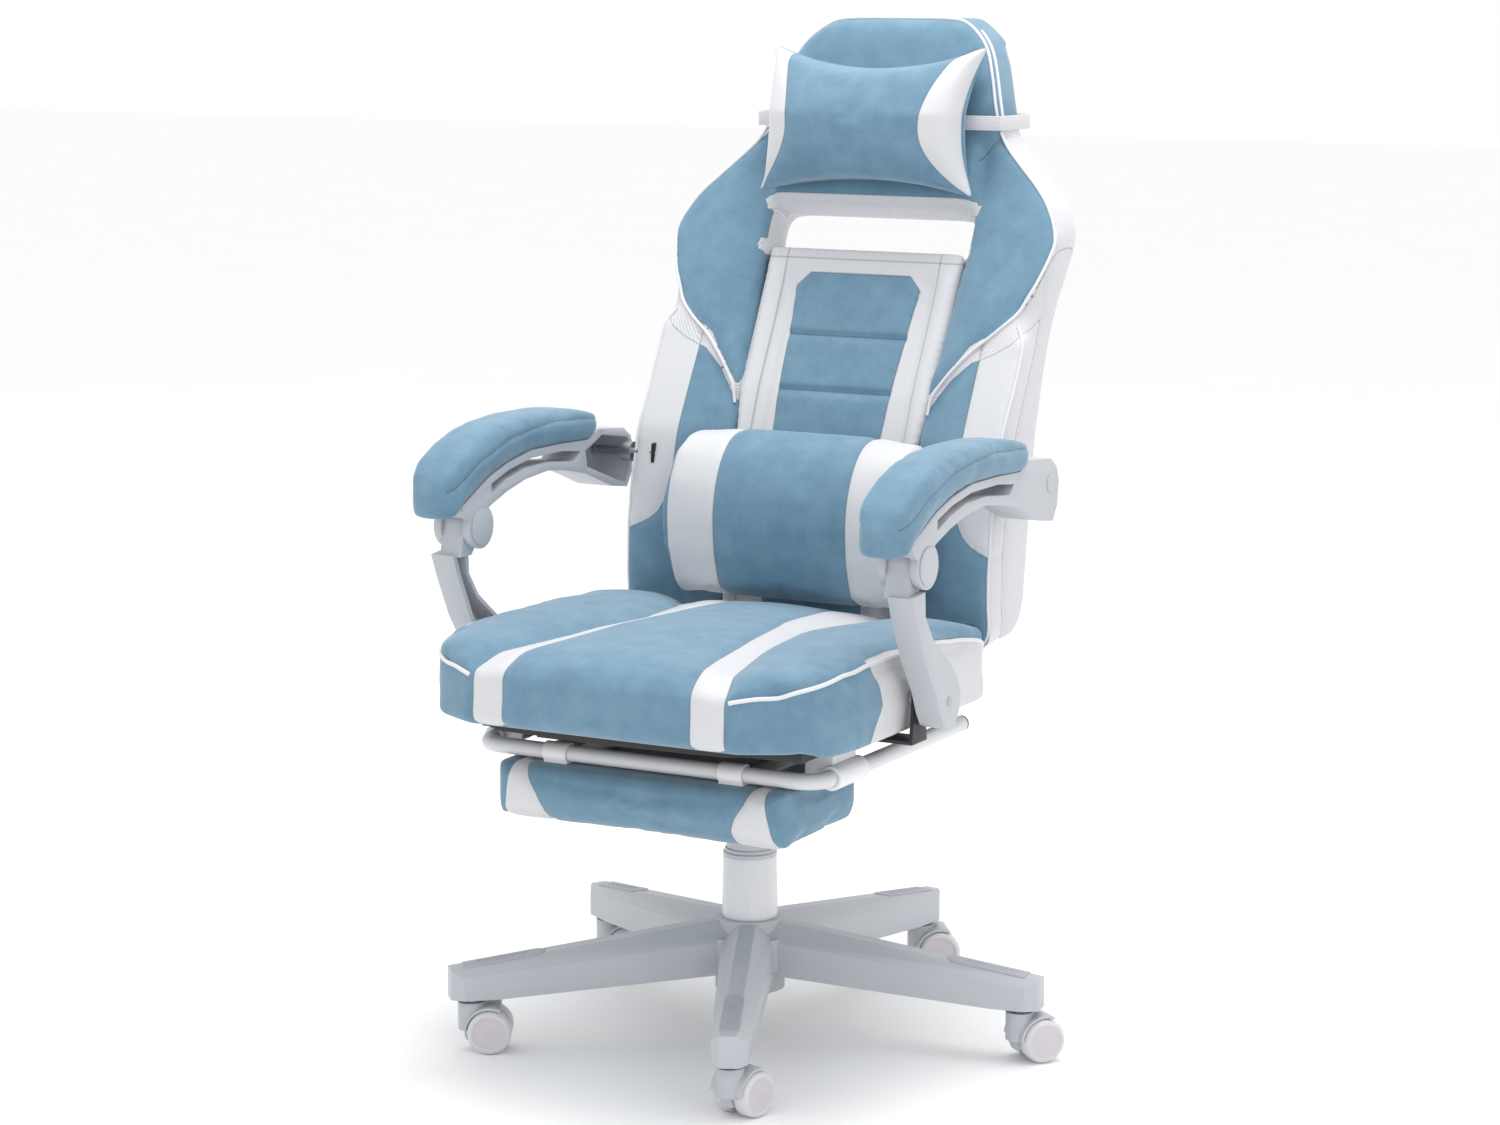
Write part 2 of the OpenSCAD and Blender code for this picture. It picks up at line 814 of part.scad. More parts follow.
module head_pad()
    color(blue)
        difference() {
            intersection() {
                union() {
                    front_slab(
                        concat(head_outline, reversed([for (p = head_outline) [-p[0], p[1]]])),
                        near_y, far_y);
                    side_slab(
                        [
                            window_line(window_top, 170), window_line(window_top, far_y),
                            [far_y, neck_z + e], [170, neck_z + e]],
                        -wing_inner + pad_gap, wing_inner - pad_gap);
                }
                back_slab(
                    concat([[245, 860], [269, 900], [300, 960]], head_front),
                    [for (p = part_line) if (p[1] > 790) [p[0] - pad_gap, p[1]]],
                    -far_x, far_x);
            }
        }

// Whole front outline of the back for the rear shell
shell_outline = [
    [back_half_w - 14, back_bottom], [back_half_w, back_bottom + 16], [back_half_w, 790],
    [246, 850], [shoulder_half_w, 900], [235, 940], [192, 980], [160, 1010], [152, 1040],
    [134, 1100], [118, 1130], [96, back_top]];

function full_outline(o, inset) = concat(
    [for (p = o) [p[0] - inset, p[1]]],
    reversed([for (p = o) [-p[0] + inset, p[1]]]));

module rear_shell()
    color(white)
        difference() {
            intersection() {
                front_slab(full_outline(shell_outline, 0), near_y, far_y);
                back_slab(part_line, rear_line, -far_x, far_x);
            }
            // The hollow that holds the frame
            intersection() {
                front_slab(full_outline(shell_outline, shell_wall), near_y, far_y);
                translate([-far_x, 0, back_bottom + shell_wall])
                    cube([2 * far_x, far_y, back_top - back_bottom - 2 * shell_wall]);
                difference() {
                    back_slab(moved(part_line, -e), moved(rear_line, -shell_wall), -far_x, far_x);
                    window_frame(10);
                }
            }
            window_frame(0);
            hinge_pocket();
            mirror([1, 0, 0]) hinge_pocket();
        }

// The window runs through at right angles to the leaning back
function window_line(z, y) = [y, z - (y - window_y) * window_slope];
module window_frame(grow)
    side_slab(
        [
            window_line(window_bottom - grow, 150), window_line(window_bottom - grow, 480),
            window_line(window_top + grow, 480), window_line(window_top + grow, 150)],
        -window_half_w - grow, window_half_w + grow);

// Frame: a bent square tube up each side of the shell's hollow, joined by round cross tubes
function mid_y(z) = lookup(z, [for (p = rear_line) [p[1], p[0] + frame_line_d]]);
frame_stations = [[205, 490], [205, 798], [200, 900], [134, 1000], [112, 1100]];

module frame_side()
    intersection() {
        front_slab(
            concat(
                [for (p = frame_stations) [p[0] + frame_tube_d / 2, p[1]]],
                reversed([for (p = frame_stations) [p[0] - frame_tube_d / 2, p[1]]])),
            near_y, far_y);
        back_slab(
            moved(rear_line, frame_line_d - frame_tube_d / 2),
            moved(rear_line, frame_line_d + frame_tube_d / 2), 0, far_x);
    }

module cross_tube(x, z)
    x_rod([mid_y(z), z], frame_tube_d / 2 - 2, -x, x);

module back_frame()
    color(black)
        difference() {
            union() {
                both_sides() {
                    frame_side();
                    hinge_cheek();
                }
                cross_tube(frame_stations[0][0], 520);
                cross_tube(frame_stations[0][0], 700);
                cross_tube(frame_stations[1][0], window_bottom - 44);
                cross_tube(frame_stations[4][0], frame_stations[4][1] - 14);
            }
            both_sides()
                x_rod(recline_p, bolt_r + run_gap, hinge_x - 2 * hinge_t, hinge_x + 20);
            both_sides()
                x_rod(rear_p, bolt_r, 190, 230);
        }

// The back's cheek lies outside the seat's hinge plate and carries the arm pivot
module hinge_cheek(room = 0)
    side_slab(
        [
            [recline_p[0] - 10, recline_p[1] - 10], [recline_p[0] + 10, recline_p[1] - 10],
            [226, 500], [mid_y(664) + 6, 664], [rear_p[0] - 6, rear_p[1] + 12],
            [rear_p[0] - 8, rear_p[1] - 10], [mid_y(560) - 20, 560]],
        hinge_x + hinge_t + body_gap - room, hinge_x + 2 * hinge_t + body_gap + room);

// Pins that carry the rear end of each armrest
module arm_pivots()
    color(steel)
        both_sides() {
            x_rod(rear_p, bolt_r, hinge_x + hinge_t + body_gap, arm_x + arm_w / 2 - 8);
            x_rod(rear_p, 12, back_half_w + 1, arm_x - arm_w / 2 - 1);
        }

// The pillow lies on the head pad and the wings, over the strap
module head_pillow()
    color(blue)
        intersection() {
            side_slab(
                concat(
                    moved([[239, 840], [269, 900], [300, 960], [309, 992], [311, 1015]], -1.5),
                    moved([[311, 1046], [330, 1068], [335, 1080], [347, 1110]], -1.5),
                    [[338, 1124], [292, 1110], [248, 1075], [236, 1045], [238, 1015], [248, 975],
                        [262, 950]]),
                -pillow_half_w, pillow_half_w);
            front_slab(
                [[-140, 1120], [-122, 1106], [0, 1094], [122, 1106], [140, 1120],
                    [143, 1036], [143, 945], [0, 961], [-143, 945], [-143, 1036]],
                near_y, far_y);
        }

// Elastic strap round the neck of the back
pillow_half_w = 144;
strap_h = 17;
strap_z = 1022;
module head_strap()
    color(white)
        translate([0, 0, strap_z])
            linear_extrude(strap_h)
                difference() {
                    strap_loop(2.2);
                    strap_loop(0.4);
                }

module strap_loop(grow)
    polygon([
        [-158 - grow, 314 - grow], [158 + grow, 314 - grow], [160 + grow, 330],
        [160 + grow, 388 + grow], [152, 394 + grow], [-152, 394 + grow],
        [-160 - grow, 388 + grow], [-160 - grow, 330]]);

// The pillow fills the hollow of the centre pad and lies on the side pads' fronts
module lumbar_pillow()
    color(blue)
        difference() {
            intersection() {
                side_slab(
                    [[103, 479], [84, 500], [72, 540], [69, 580], [74, 620], [92, 655],
                        [128, 678], [146, 679], [170, 664], [166, 650], [146, 600], [138, 540],
                        [132, 492]],
                    -far_x, far_x);
                front_slab(
                    [[-172, 484], [-178, 580], [-170, 672], [0, 684], [170, 672], [178, 580],
                        [172, 484], [0, 474]],
                    0, far_y);
            }
            both_sides()
                back_slab(
                    moved(side_front, -1.5), [[far_y, back_bottom], [far_y, back_top]],
                    centre_half_w - 1.5, far_x);
        }

// ---- Armrests ----

arm_in = arm_x - arm_w / 2;
arm_out = arm_x + arm_w / 2;
link_in = arm_x - 7;

// Link outline: a knuckle at the beam, widening to the lower bolt
link_outline = [
    [-196, 560], [-187, 537], [-163, 487], [-136, 447], [-126, 424], [-116, 409],
    [-103, 404], [-89, 407], [-79, 421], [-76, 440], [-84, 458], [-105, 479], [-144, 509],
    [-163, 536], [-164, 563]];
link_hollow = [
    [-187, 556], [-180, 538], [-157, 489], [-131, 449], [-121, 426], [-113, 414],
    [-103, 409], [-92, 411], [-84, 423], [-81, 440], [-88, 455], [-108, 475], [-148, 506],
    [-168, 535], [-170, 556]];

module link()
    color(grey)
        difference() {
            union() {
                side_slab(link_outline, link_in, arm_out - 2);
                x_rod(front_p, knuckle_r, arm_x - knuckle_half, arm_x + knuckle_half);
                side_slab(
                    [[-182, 590], [-190, 558], [-168, 558], [-146, 584]],
                    arm_x - knuckle_half, arm_x + knuckle_half);
            }
            side_slab(link_hollow, link_in - e, arm_out - 2 - arm_wall);
            beam_room();
            x_rod(front_p, bolt_r + run_gap, arm_in, arm_out);
            x_rod(link_p, bolt_r + run_gap, arm_x, arm_out + e);
        }

// Room that the beam's round end needs on both sides of the knuckle
module beam_room()
    both_cheeks(pivot_disc_r + 1.2);

module both_cheeks(r) {
    x_rod(front_p, r, arm_in - e, arm_x - knuckle_half - 0.01);
    x_rod(front_p, r, arm_x + knuckle_half + 0.01, arm_out + e);
}

module arm_beam()
    color(grey)
        difference() {
            union() {
                side_slab(
                    concat(arm_line, [[-200, 612], [-186, 600]], beam_under,
                        [[157, 595], [168, 612], [172, 640], [166, 656], [150, 667]]),
                    arm_in, arm_out);
                x_rod(front_p, pivot_disc_r, arm_in, arm_out);
            }
            side_slab(slot_line, arm_in - e, arm_out + e);
            // Open channel on the inner side of the rear end
            side_slab(
                [[142, 603], [152, 603], [162, 618], [165, 640], [158, 655], [100, 664],
                    [78, 655], [62, 650], [66, 630]],
                arm_in - e, arm_out - arm_wall);
            // Slot for the link's knuckle, with the swing that it needs
            x_rod(front_p, knuckle_r + 1, arm_x - knuckle_half - body_gap, arm_x + knuckle_half + body_gap);
            side_slab(
                [[-148, 598], [-120, 560], [-222, 548], [-196, 604], [-178, 600]],
                arm_x - knuckle_half - body_gap, arm_x + knuckle_half + body_gap);
            x_rod(front_p, bolt_r, arm_in - e, arm_out + e);
            x_rod(rear_p, bolt_r + open_pivot_gap, arm_in - e, arm_out - arm_wall + 1.5);
        }

// The pad's ends are half round in plan
module arm_pad()
    color(blue)
        intersection() {
            side_slab(concat(arm_line, pad_top_line), arm_x - pad_w / 2, arm_x + pad_w / 2);
            linear_extrude(back_top)
                union() {
                    translate([arm_x - pad_w / 2, pad_w / 2 - pad_front])
                        square([pad_w, pad_front + pad_rear - pad_w]);
                    translate([arm_x, pad_w / 2 - pad_front]) circle(r = pad_w / 2);
                    translate([arm_x, pad_rear - pad_w / 2]) circle(r = pad_w / 2);
                }
        }

// Front pivot pin with its round caps, and the plug over the rear pivot
module arm_caps()
    color(grey) {
        x_rod(front_p, bolt_r, arm_in, arm_out);
        x_rod(front_p, pivot_disc_r - 4, arm_out, arm_out + cap_t);
        x_rod(front_p, pivot_disc_r - 4, arm_in - cap_t, arm_in);
        x_rod(rear_p, 11, arm_out, arm_out + 0.8);
    }

// ---- Footrest ----

module rest_tube_path(r) {
    bend_x = rest_half_w - bar_bend_r;
    translate([-bend_x, bar_y, bar_z])
        rotate([0, 90, 0]) cylinder(r = r, h = 2 * bend_x);
    both_sides() {
        translate([bend_x, bar_y + bar_bend_r, bar_z])
            rotate([0, 0, -90])
                rotate_extrude(angle = 90)
                    translate([bar_bend_r, 0]) circle(r = r);
        translate([rest_half_w, bar_y + bar_bend_r, bar_z])
            rotate([-90, 0, 0]) cylinder(r = r, h = rail_rear - bar_y - bar_bend_r);
    }
}

module footrest_tube()
    color(white)
        difference() {
            rest_tube_path(rest_tube_d / 2);
            both_sides()
                translate([rest_half_w, rail_rear - 40, bar_z])
                    rotate([-90, 0, 0])
                        cylinder(r = rest_tube_d / 2 - rest_tube_wall, h = 60);
        }

module tube_plugs()
    color(black)
        both_sides()
            translate([rest_half_w, rail_rear, bar_z])
                rotate([-90, 0, 0]) {
                    translate([0, 0, -14]) cylinder(r = rest_tube_d / 2 - rest_tube_wall, h = 14);
                    cylinder(r = rest_tube_d / 2, h = 3);
                }

// Hangers clasp the front bar and carry the pad
module footrest_hangers()
    color(white)
        both_sides()
            translate([hanger_x - hanger_w / 2, 0, 0])
                difference() {
                    union() {
                        x_rod([bar_y, bar_z], rest_tube_d / 2 + hanger_wall - 1.5, 0, hanger_w);
                        translate([0, bar_y, rest_pad_top])
                            cube([hanger_w, rest_pad_depth - 40, hanger_wall]);
                        translate([0, bar_y - 8, rest_pad_top])
                            cube([hanger_w, 16, 8]);
                    }
                    x_rod([bar_y, bar_z], rest_tube_d / 2 + run_gap, -e, hanger_w + e);
                }

module footrest_pad()
    color(blue)
        intersection() {
            side_slab(
                [
                    [rest_pad_front + 12, rest_pad_top], [rest_pad_front, rest_pad_top - 14],
                    [rest_pad_front + 4, rest_pad_top - rest_pad_h + 12],
                    [rest_pad_front + 18, rest_pad_top - rest_pad_h],
                    [rest_pad_rear - 24, rest_pad_top - rest_pad_h + 4],
                    [rest_pad_rear, rest_pad_top - rest_pad_h + 24],
                    [rest_pad_rear, rest_pad_top - 14], [rest_pad_rear - 12, rest_pad_top]],
                -rest_pad_w / 2, rest_pad_w / 2);
            both_sides() rest_pad_half();
        }

// Plan block of the pad's left half, with its corners cut
module rest_pad_half()
    translate([0, 0, rest_pad_top - rest_pad_h - e])
        linear_extrude(rest_pad_h + 2 * e)
            polygon([
                [0, rest_pad_front], [rest_pad_w / 2 - rest_pad_corner, rest_pad_front],
                [rest_pad_w / 2, rest_pad_front + rest_pad_corner],
                [rest_pad_w / 2, rest_pad_rear - rest_pad_corner],
                [rest_pad_w / 2 - rest_pad_corner, rest_pad_rear], [0, rest_pad_rear]]);

star_base();
tread_plates();
caster_stems();
gas_cylinder();
guide_bush();
thrust_bearing();
lower_cover();
cover_collar();
piston_rod();
caster_hood(0);  // caster_hood_1
caster_hood(1);  // caster_hood_2
caster_hood(2);  // caster_hood_3
caster_hood(3);  // caster_hood_4
caster_hood(4);  // caster_hood_5
wheel(0, 1);  // wheel_1_left
wheel(1, 1);  // wheel_2_left
wheel(2, 1);  // wheel_3_left
wheel(3, 1);  // wheel_4_left
wheel(4, 1);  // wheel_5_left
wheel(0, -1);  // wheel_1_right
wheel(1, -1);  // wheel_2_right
wheel(2, -1);  // wheel_3_right
wheel(3, -1);  // wheel_4_right
wheel(4, -1);  // wheel_5_right
pressure_tube();
upper_cover();
mechanism_plate();
release_button();
height_lever();
seat_frame();
seat_board();
seat_cushion();
seat_bolsters();
rail_sleeves();
recline_bolts();
link_bolts();
recline_lever();
back_frame();
rear_shell();
back_centre_pad();
back_side_pads();
wing_pads();
head_pad();
head_pillow();
head_strap();
lumbar_pillow();
arm_pivots();
on_side(1) link();  // link_left
on_side(-1) link();  // link_right
on_side(1) arm_beam();  // arm_beam_left
on_side(-1) arm_beam();  // arm_beam_right
on_side(1) arm_pad();  // arm_pad_left
on_side(-1) arm_pad();  // arm_pad_right
on_side(1) arm_caps();  // arm_caps_left
on_side(-1) arm_caps();  // arm_caps_right
footrest_tube();
tube_plugs();
footrest_hangers();
footrest_pad();
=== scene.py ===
import json
import math

import bpy
import numpy as np
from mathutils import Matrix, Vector
from mathutils.bvhtree import BVHTree


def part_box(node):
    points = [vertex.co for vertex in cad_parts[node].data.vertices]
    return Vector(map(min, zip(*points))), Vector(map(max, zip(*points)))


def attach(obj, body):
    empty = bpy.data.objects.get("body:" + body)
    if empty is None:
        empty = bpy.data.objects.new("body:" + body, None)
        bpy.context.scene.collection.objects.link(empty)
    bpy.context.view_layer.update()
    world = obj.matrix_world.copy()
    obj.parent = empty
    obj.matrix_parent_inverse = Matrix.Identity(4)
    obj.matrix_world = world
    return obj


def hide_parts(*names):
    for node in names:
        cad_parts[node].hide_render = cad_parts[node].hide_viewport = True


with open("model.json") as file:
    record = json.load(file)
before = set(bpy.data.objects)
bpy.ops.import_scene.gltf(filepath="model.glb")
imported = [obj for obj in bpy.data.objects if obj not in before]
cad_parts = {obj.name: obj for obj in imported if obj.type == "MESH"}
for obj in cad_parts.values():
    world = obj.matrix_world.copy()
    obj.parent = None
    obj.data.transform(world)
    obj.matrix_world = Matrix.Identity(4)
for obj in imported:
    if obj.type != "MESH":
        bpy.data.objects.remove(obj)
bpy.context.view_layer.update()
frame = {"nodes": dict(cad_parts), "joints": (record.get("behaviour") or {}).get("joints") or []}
nodes = frame["nodes"]
scene = bpy.context.scene
MM = 0.001
# Stands for "no seam near" in the distances, in mm
FAR = 99


# ---- Studio: a camera at standing height in front of the chair, a pale floor, soft lights ----
# The floor is matt white vinyl. One large soft box hangs over the chair, a smaller one fills
# from the front, and white walls all round give the rest of the light.
def select_only(*objects):
    """Leaves just these objects selected, the first one active"""
    bpy.ops.object.select_all(action="DESELECT")
    for o in objects:
        o.select_set(True)
    bpy.context.view_layer.objects.active = objects[0]


def linear(colour):
    """The linear RGBA of an sRGB hex colour"""
    parts = [int(colour[i : i + 2], 16) / 255 for i in (1, 3, 5)]
    return [p / 12.92 if p <= 0.04045 else ((p + 0.055) / 1.055) ** 2.4 for p in parts] + [1.0]


def add(tree, kind, inputs=None, **properties):
    """Adds a shader node, with its properties, and its inputs as values or links"""
    made = tree.nodes.new("ShaderNode" + kind)
    for name, value in properties.items():
        setattr(made, name, value)
    for name, value in (inputs or {}).items():
        if isinstance(value, bpy.types.NodeSocket):
            tree.links.new(value, made.inputs[name])
        else:
            made.inputs[name].default_value = value
    return made


def blend(tree, factor, first, second):
    """Adds a node that mixes two colours, each a hex colour or a link"""
    ends = [linear(c) if isinstance(c, str) else c for c in (first, second)]
    return add(tree, "Mix", {0: factor, 6: ends[0], 7: ends[1]}, data_type="RGBA")


def math_node(tree, operation, *values):
    """Adds a node that works out one number from values or links"""
    return add(tree, "Math", dict(enumerate(values)), operation=operation).outputs[0]


def start_material(name, **shader):
    """A material with its shader's constant inputs set: (material, tree, shader, position)"""
    material = bpy.data.materials.new(name)
    material.use_nodes = True
    tree = material.node_tree
    principled = tree.nodes["Principled BSDF"]
    for key, value in shader.items():
        principled.inputs[key.replace("_", " ")].default_value = value
    return material, tree, principled, add(tree, "TexCoord").outputs["Object"]


camera_data = bpy.data.cameras.new("view")
camera_data.sensor_width = 36
camera_data.lens = 85.70
camera_data.clip_end = 60
camera = bpy.data.objects.new("view", camera_data)
camera.location = (1.9243, -3.4865, 1.2142)
camera.rotation_euler = (math.radians(80.475), 0, math.radians(28.896))
scene.collection.objects.link(camera)
scene.camera = camera
scene.view_settings.view_transform = "Standard"

bpy.ops.object.select_all(action="DESELECT")
bpy.ops.mesh.primitive_plane_add(size=40)
floor = bpy.context.object
floor.name = "studio_floor"
material, tree, principled, place = start_material("matt_white_vinyl", Roughness=0.9)
dust = add(tree, "TexNoise", {"Vector": place, "Scale": 3.0})
shade = blend(tree, dust.outputs["Fac"], "#fbfbfc", "#fdfdfd")
tree.links.new(shade.outputs[2], principled.inputs["Base Color"])
floor.data.materials.append(material)

world = bpy.data.worlds.new("studio")
world.use_nodes = True
world.node_tree.nodes["Background"].inputs["Color"].default_value = linear("#ffffff")
world.node_tree.nodes["Background"].inputs["Strength"].default_value = 1.0
scene.world = world
for lamp, place_at, size, power in [
    ("overhead_softbox", (0.2, 0.2, 3.3), 1.7, 58.0),
    ("front_softbox", (2.8, -2.0, 1.6), 1.5, 5.0),
]:
    data = bpy.data.lights.new(lamp, "AREA")
    data.size = size
    data.energy = power
    light = bpy.data.objects.new(lamp, data)
    light.location = place_at
    light.rotation_euler = (Vector((0, 0, 0.6)) - Vector(place_at)).to_track_quat("-Z", "Y").to_euler()
    scene.collection.objects.link(light)


# ---- Star base: one injection moulding in grey glass-filled nylon, with ribbed inlays ----
# The legs' edges are rounded as the mould leaves them. The tread inlays are separate
# mouldings pressed into the tops of the legs, where feet rest.
def copy_of(piece_name, *node_names):
    """One new mesh with copies of CAD nodes, its doubles merged and its materials empty"""
    copies = []
    for name in node_names:
        made = bpy.data.objects.new(piece_name, nodes[name].data.copy())
        scene.collection.objects.link(made)
        copies.append(made)
    select_only(*copies)
    if len(copies) > 1:
        bpy.ops.object.join()
    piece = bpy.context.view_layer.objects.active
    piece.data.materials.clear()
    bpy.ops.object.mode_set(mode="EDIT")
    bpy.ops.mesh.select_all(action="SELECT")
    bpy.ops.mesh.remove_doubles(threshold=0.00001)
    bpy.ops.object.mode_set(mode="OBJECT")
    return piece


def apply_modifiers(piece):
    """Makes a piece's modifiers part of its mesh"""
    select_only(piece)
    for modifier in list(piece.modifiers):
        bpy.ops.object.modifier_apply(modifier=modifier.name)


def moulded(piece_name, *node_names, edge=0.001, segments=2):
    """A copy of CAD nodes with its flat facets joined and its edges rounded"""
    piece = copy_of(piece_name, *node_names)
    bpy.ops.object.mode_set(mode="EDIT")
    bpy.ops.mesh.select_all(action="SELECT")
    bpy.ops.mesh.dissolve_limited(angle_limit=math.radians(0.4))
    bpy.ops.object.mode_set(mode="OBJECT")
    rounding = piece.modifiers.new("edges", "BEVEL")
    rounding.width = edge
    rounding.segments = segments
    rounding.limit_method = "ANGLE"
    rounding.angle_limit = math.radians(28)
    apply_modifiers(piece)
    bpy.ops.object.shade_smooth_by_angle(angle=math.radians(32))
    return piece


def grained_plastic(name, dark, light, roughness, grain_mm, depth_mm):
    """A moulded plastic: slight flow marks in its colour and a fine spark-eroded grain"""
    made, tree, principled, place = start_material(name, Roughness=roughness, IOR=1.5)
    flow = add(tree, "TexNoise", {"Vector": place, "Scale": 14.0, "Detail": 3.0})
    mixed = blend(tree, flow.outputs["Fac"], dark, light)
    grain = add(tree, "TexNoise", {"Vector": place, "Scale": 1000 / grain_mm, "Detail": 2.0})
    bump = add(tree, "Bump", {"Height": grain.outputs["Fac"], "Distance": depth_mm * MM, "Strength": 0.5})
    gloss = add(tree, "MapRange", {"Value": flow.outputs["Fac"], 3: roughness - 0.05, 4: roughness + 0.06})
    tree.links.new(mixed.outputs[2], principled.inputs["Base Color"])
    tree.links.new(bump.outputs["Normal"], principled.inputs["Normal"])
    tree.links.new(gloss.outputs["Result"], principled.inputs["Roughness"])
    return made


# Grain of about 0.4 mm on the real moulding, drawn at 1 mm so that it shows
grey_nylon = grained_plastic("moulded_grey_nylon", "#b3b6bc", "#babdc2", 0.45, 1.0, 0.12)
dark_nylon = grained_plastic("moulded_tread_nylon", "#a5a8af", "#adb0b6", 0.55, 1.0, 0.15)
for piece_name, node_name, slot, finish, edge in [
    ("star_legs", "star_base", "base_plastic", grey_nylon, 0.0016),
    ("tread_inlays", "tread_plates", "tread_plastic", dark_nylon, 0.0003),
]:
    piece = moulded(piece_name, node_name, edge=edge)
    piece.data.materials.append(finish)
    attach(piece, "base")
    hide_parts(node_name)


# ---- Column: gas lift with telescopic covers in white and grey polypropylene ----
# The steel cylinder stands in the hub's bore. Only the covers and a collar ring show;
# inside are a turned steel rod, its bearing, an acetal bush and the rising tube.
def painted(node_name, finish):
    """Gives a CAD node that stays in view its finish"""
    nodes[node_name].data.materials.clear()
    nodes[node_name].data.materials.append(finish)


white_polypropylene = grained_plastic("white_polypropylene", "#e0e0e3", "#e6e6e8", 0.35, 1.2, 0.05)
grey_polypropylene = grained_plastic("grey_polypropylene", "#c2c3c8", "#c9cace", 0.4, 1.2, 0.05)
for piece_name, node_name, body, slot, finish, edge in [
    ("column_cover", "lower_cover", "base", "white_plastic", white_polypropylene, 0.0008),
    ("column_collar", "cover_collar", "base", "collar_plastic", grey_polypropylene, 0.0008),
    ("column_sleeve", "upper_cover", "seat", "collar_plastic", grey_polypropylene, 0.0006),
]:
    piece = moulded(piece_name, node_name, edge=edge)
    piece.data.materials.append(finish)
    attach(piece, body)
    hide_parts(node_name)

# Ground bar steel, bright zinc plated: fine turning marks round each axis
bright_steel, tree, principled, place = start_material("zinc_plated_steel", Metallic=1.0)
marks = add(tree, "TexNoise", {"Vector": place, "Scale": 400.0, "Detail": 3.0})
tint = blend(tree, marks.outputs["Fac"], "#a6a8ab", "#bcbec0")
wear = add(tree, "MapRange", {"Value": marks.outputs["Fac"], 3: 0.28, 4: 0.42})
tree.links.new(tint.outputs[2], principled.inputs["Base Color"])
tree.links.new(wear.outputs["Result"], principled.inputs["Roughness"])
# Black powder coat on sheet steel: a low orange peel of about 1 mm
black_steel = grained_plastic("black_powder_coated_steel", "#1b1c1e", "#232427", 0.42, 1.4, 0.08)
white_acetal = grained_plastic("white_acetal", "#d8d8d6", "#dededc", 0.4, 1.0, 0.04)
black_nylon = grained_plastic("moulded_black_nylon", "#222326", "#2a2b2e", 0.5, 1.0, 0.12)
for node_name, finish in [
    ("gas_cylinder", black_steel),
    ("guide_bush", white_acetal),
    ("thrust_bearing", bright_steel),
    ("piston_rod", bright_steel),
    ("pressure_tube", bright_steel),
    ("caster_stems", bright_steel),
    ("release_button", white_acetal),
]:
    painted(node_name, finish)

# ---- Casters: five twin-wheel casters on steel stems ----
# Each hood is a grey nylon moulding over two white polyurethane wheels, and a
# pinkish-grey disc of polypropylene is snapped into each wheel's outer face.
wheel_polyurethane = grained_plastic("white_polyurethane", "#cccccf", "#d3d3d6", 0.4, 1.0, 0.06)
disc_polypropylene = grained_plastic("pinkish_grey_polypropylene", "#c4bfc3", "#cbc6ca", 0.38, 1.0, 0.05)
disc_radius = 18.4 * MM
joint_of = {j["child"]: j for j in frame["joints"]}
for number in range(1, 6):
    hood = moulded(f"caster_{number}_hood", f"caster_hood_{number}", edge=0.0012)
    hood.data.materials.append(grey_nylon)
    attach(hood, f"caster_{number}")
    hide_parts(f"caster_hood_{number}")
    for side in ("left", "right"):
        body = f"wheel_{number}_{side}"
        wheel = moulded(f"caster_{number}_wheel_{side}", body, edge=0.0006)
        wheel.data.materials.append(wheel_polyurethane)
        wheel.data.materials.append(disc_polypropylene)
        hub = Vector(joint_of[body]["pos_m"])
        axle = Vector(joint_of[body]["axis"]).normalized()
        for face in wheel.data.polygons:
            arm = face.center - hub
            if (arm - axle * arm.dot(axle)).length < disc_radius:
                face.material_index = 1
        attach(wheel, body)
        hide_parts(body)

# ---- Mechanism and seat frame: pressed and welded sheet steel, black powder coated ----
# The height lever and the recline lever have black nylon paddles. The seat frame carries
# the recline pivots and the armrest links on zinc plated bolts.
for node_name, finish in [
    ("mechanism_plate", black_steel),
    ("recline_bolts", bright_steel),
    ("link_bolts", bright_steel),
    ("arm_pivots", bright_steel),
    ("back_frame", black_steel),
]:
    painted(node_name, finish)
for piece_name, node_name, body, slot, finish, edge in [
    ("seat_frame_welded", "seat_frame", "seat", "black_plastic", black_steel, 0.0006),
    ("height_lever_bar", "height_lever", "height_lever", "black_plastic", black_nylon, 0.0015),
    ("recline_lever_bar", "recline_lever", "recline_lever", "black_plastic", black_nylon, 0.0015),
]:
    piece = moulded(piece_name, node_name, edge=edge)
    piece.data.materials.append(finish)
    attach(piece, body)
    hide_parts(node_name)

# Seat board: 8 mm birch plywood with a faint grain along the seat, coloured near black as painted shade for
# the dark gap under the seat
plywood, tree, principled, place = start_material("plywood_darkened_as_painted_shade", Roughness=0.6)
stretched = add(tree, "Mapping", {"Vector": place, "Scale": (60.0, 4.0, 60.0)})
grain = add(tree, "TexNoise", {"Vector": stretched.outputs["Vector"], "Scale": 4.0, "Detail": 6.0})
# The near-black colour is painted shade for the gap under the seat
tint = blend(tree, grain.outputs["Fac"], "#26221e", "#352f2a")
bump = add(tree, "Bump", {"Height": grain.outputs["Fac"], "Distance": 0.0003, "Strength": 0.4})
tree.links.new(tint.outputs[2], principled.inputs["Base Color"])
tree.links.new(bump.outputs["Normal"], principled.inputs["Normal"])
painted("seat_board", plywood)


# ---- Seat cushion: moulded foam under suede-like polyester, with white coated strips ----
# A raised middle panel is sewn to two white strips and to side bolsters. White piping runs
# round the front corners and along the sides, over side walls of white spacer mesh.
def coords(piece):
    """A piece's vertices as an array of millimetres"""
    flat = np.empty(len(piece.data.vertices) * 3, np.float32)
    piece.data.vertices.foreach_get("co", flat)
    return flat.reshape(-1, 3).astype(float) / MM


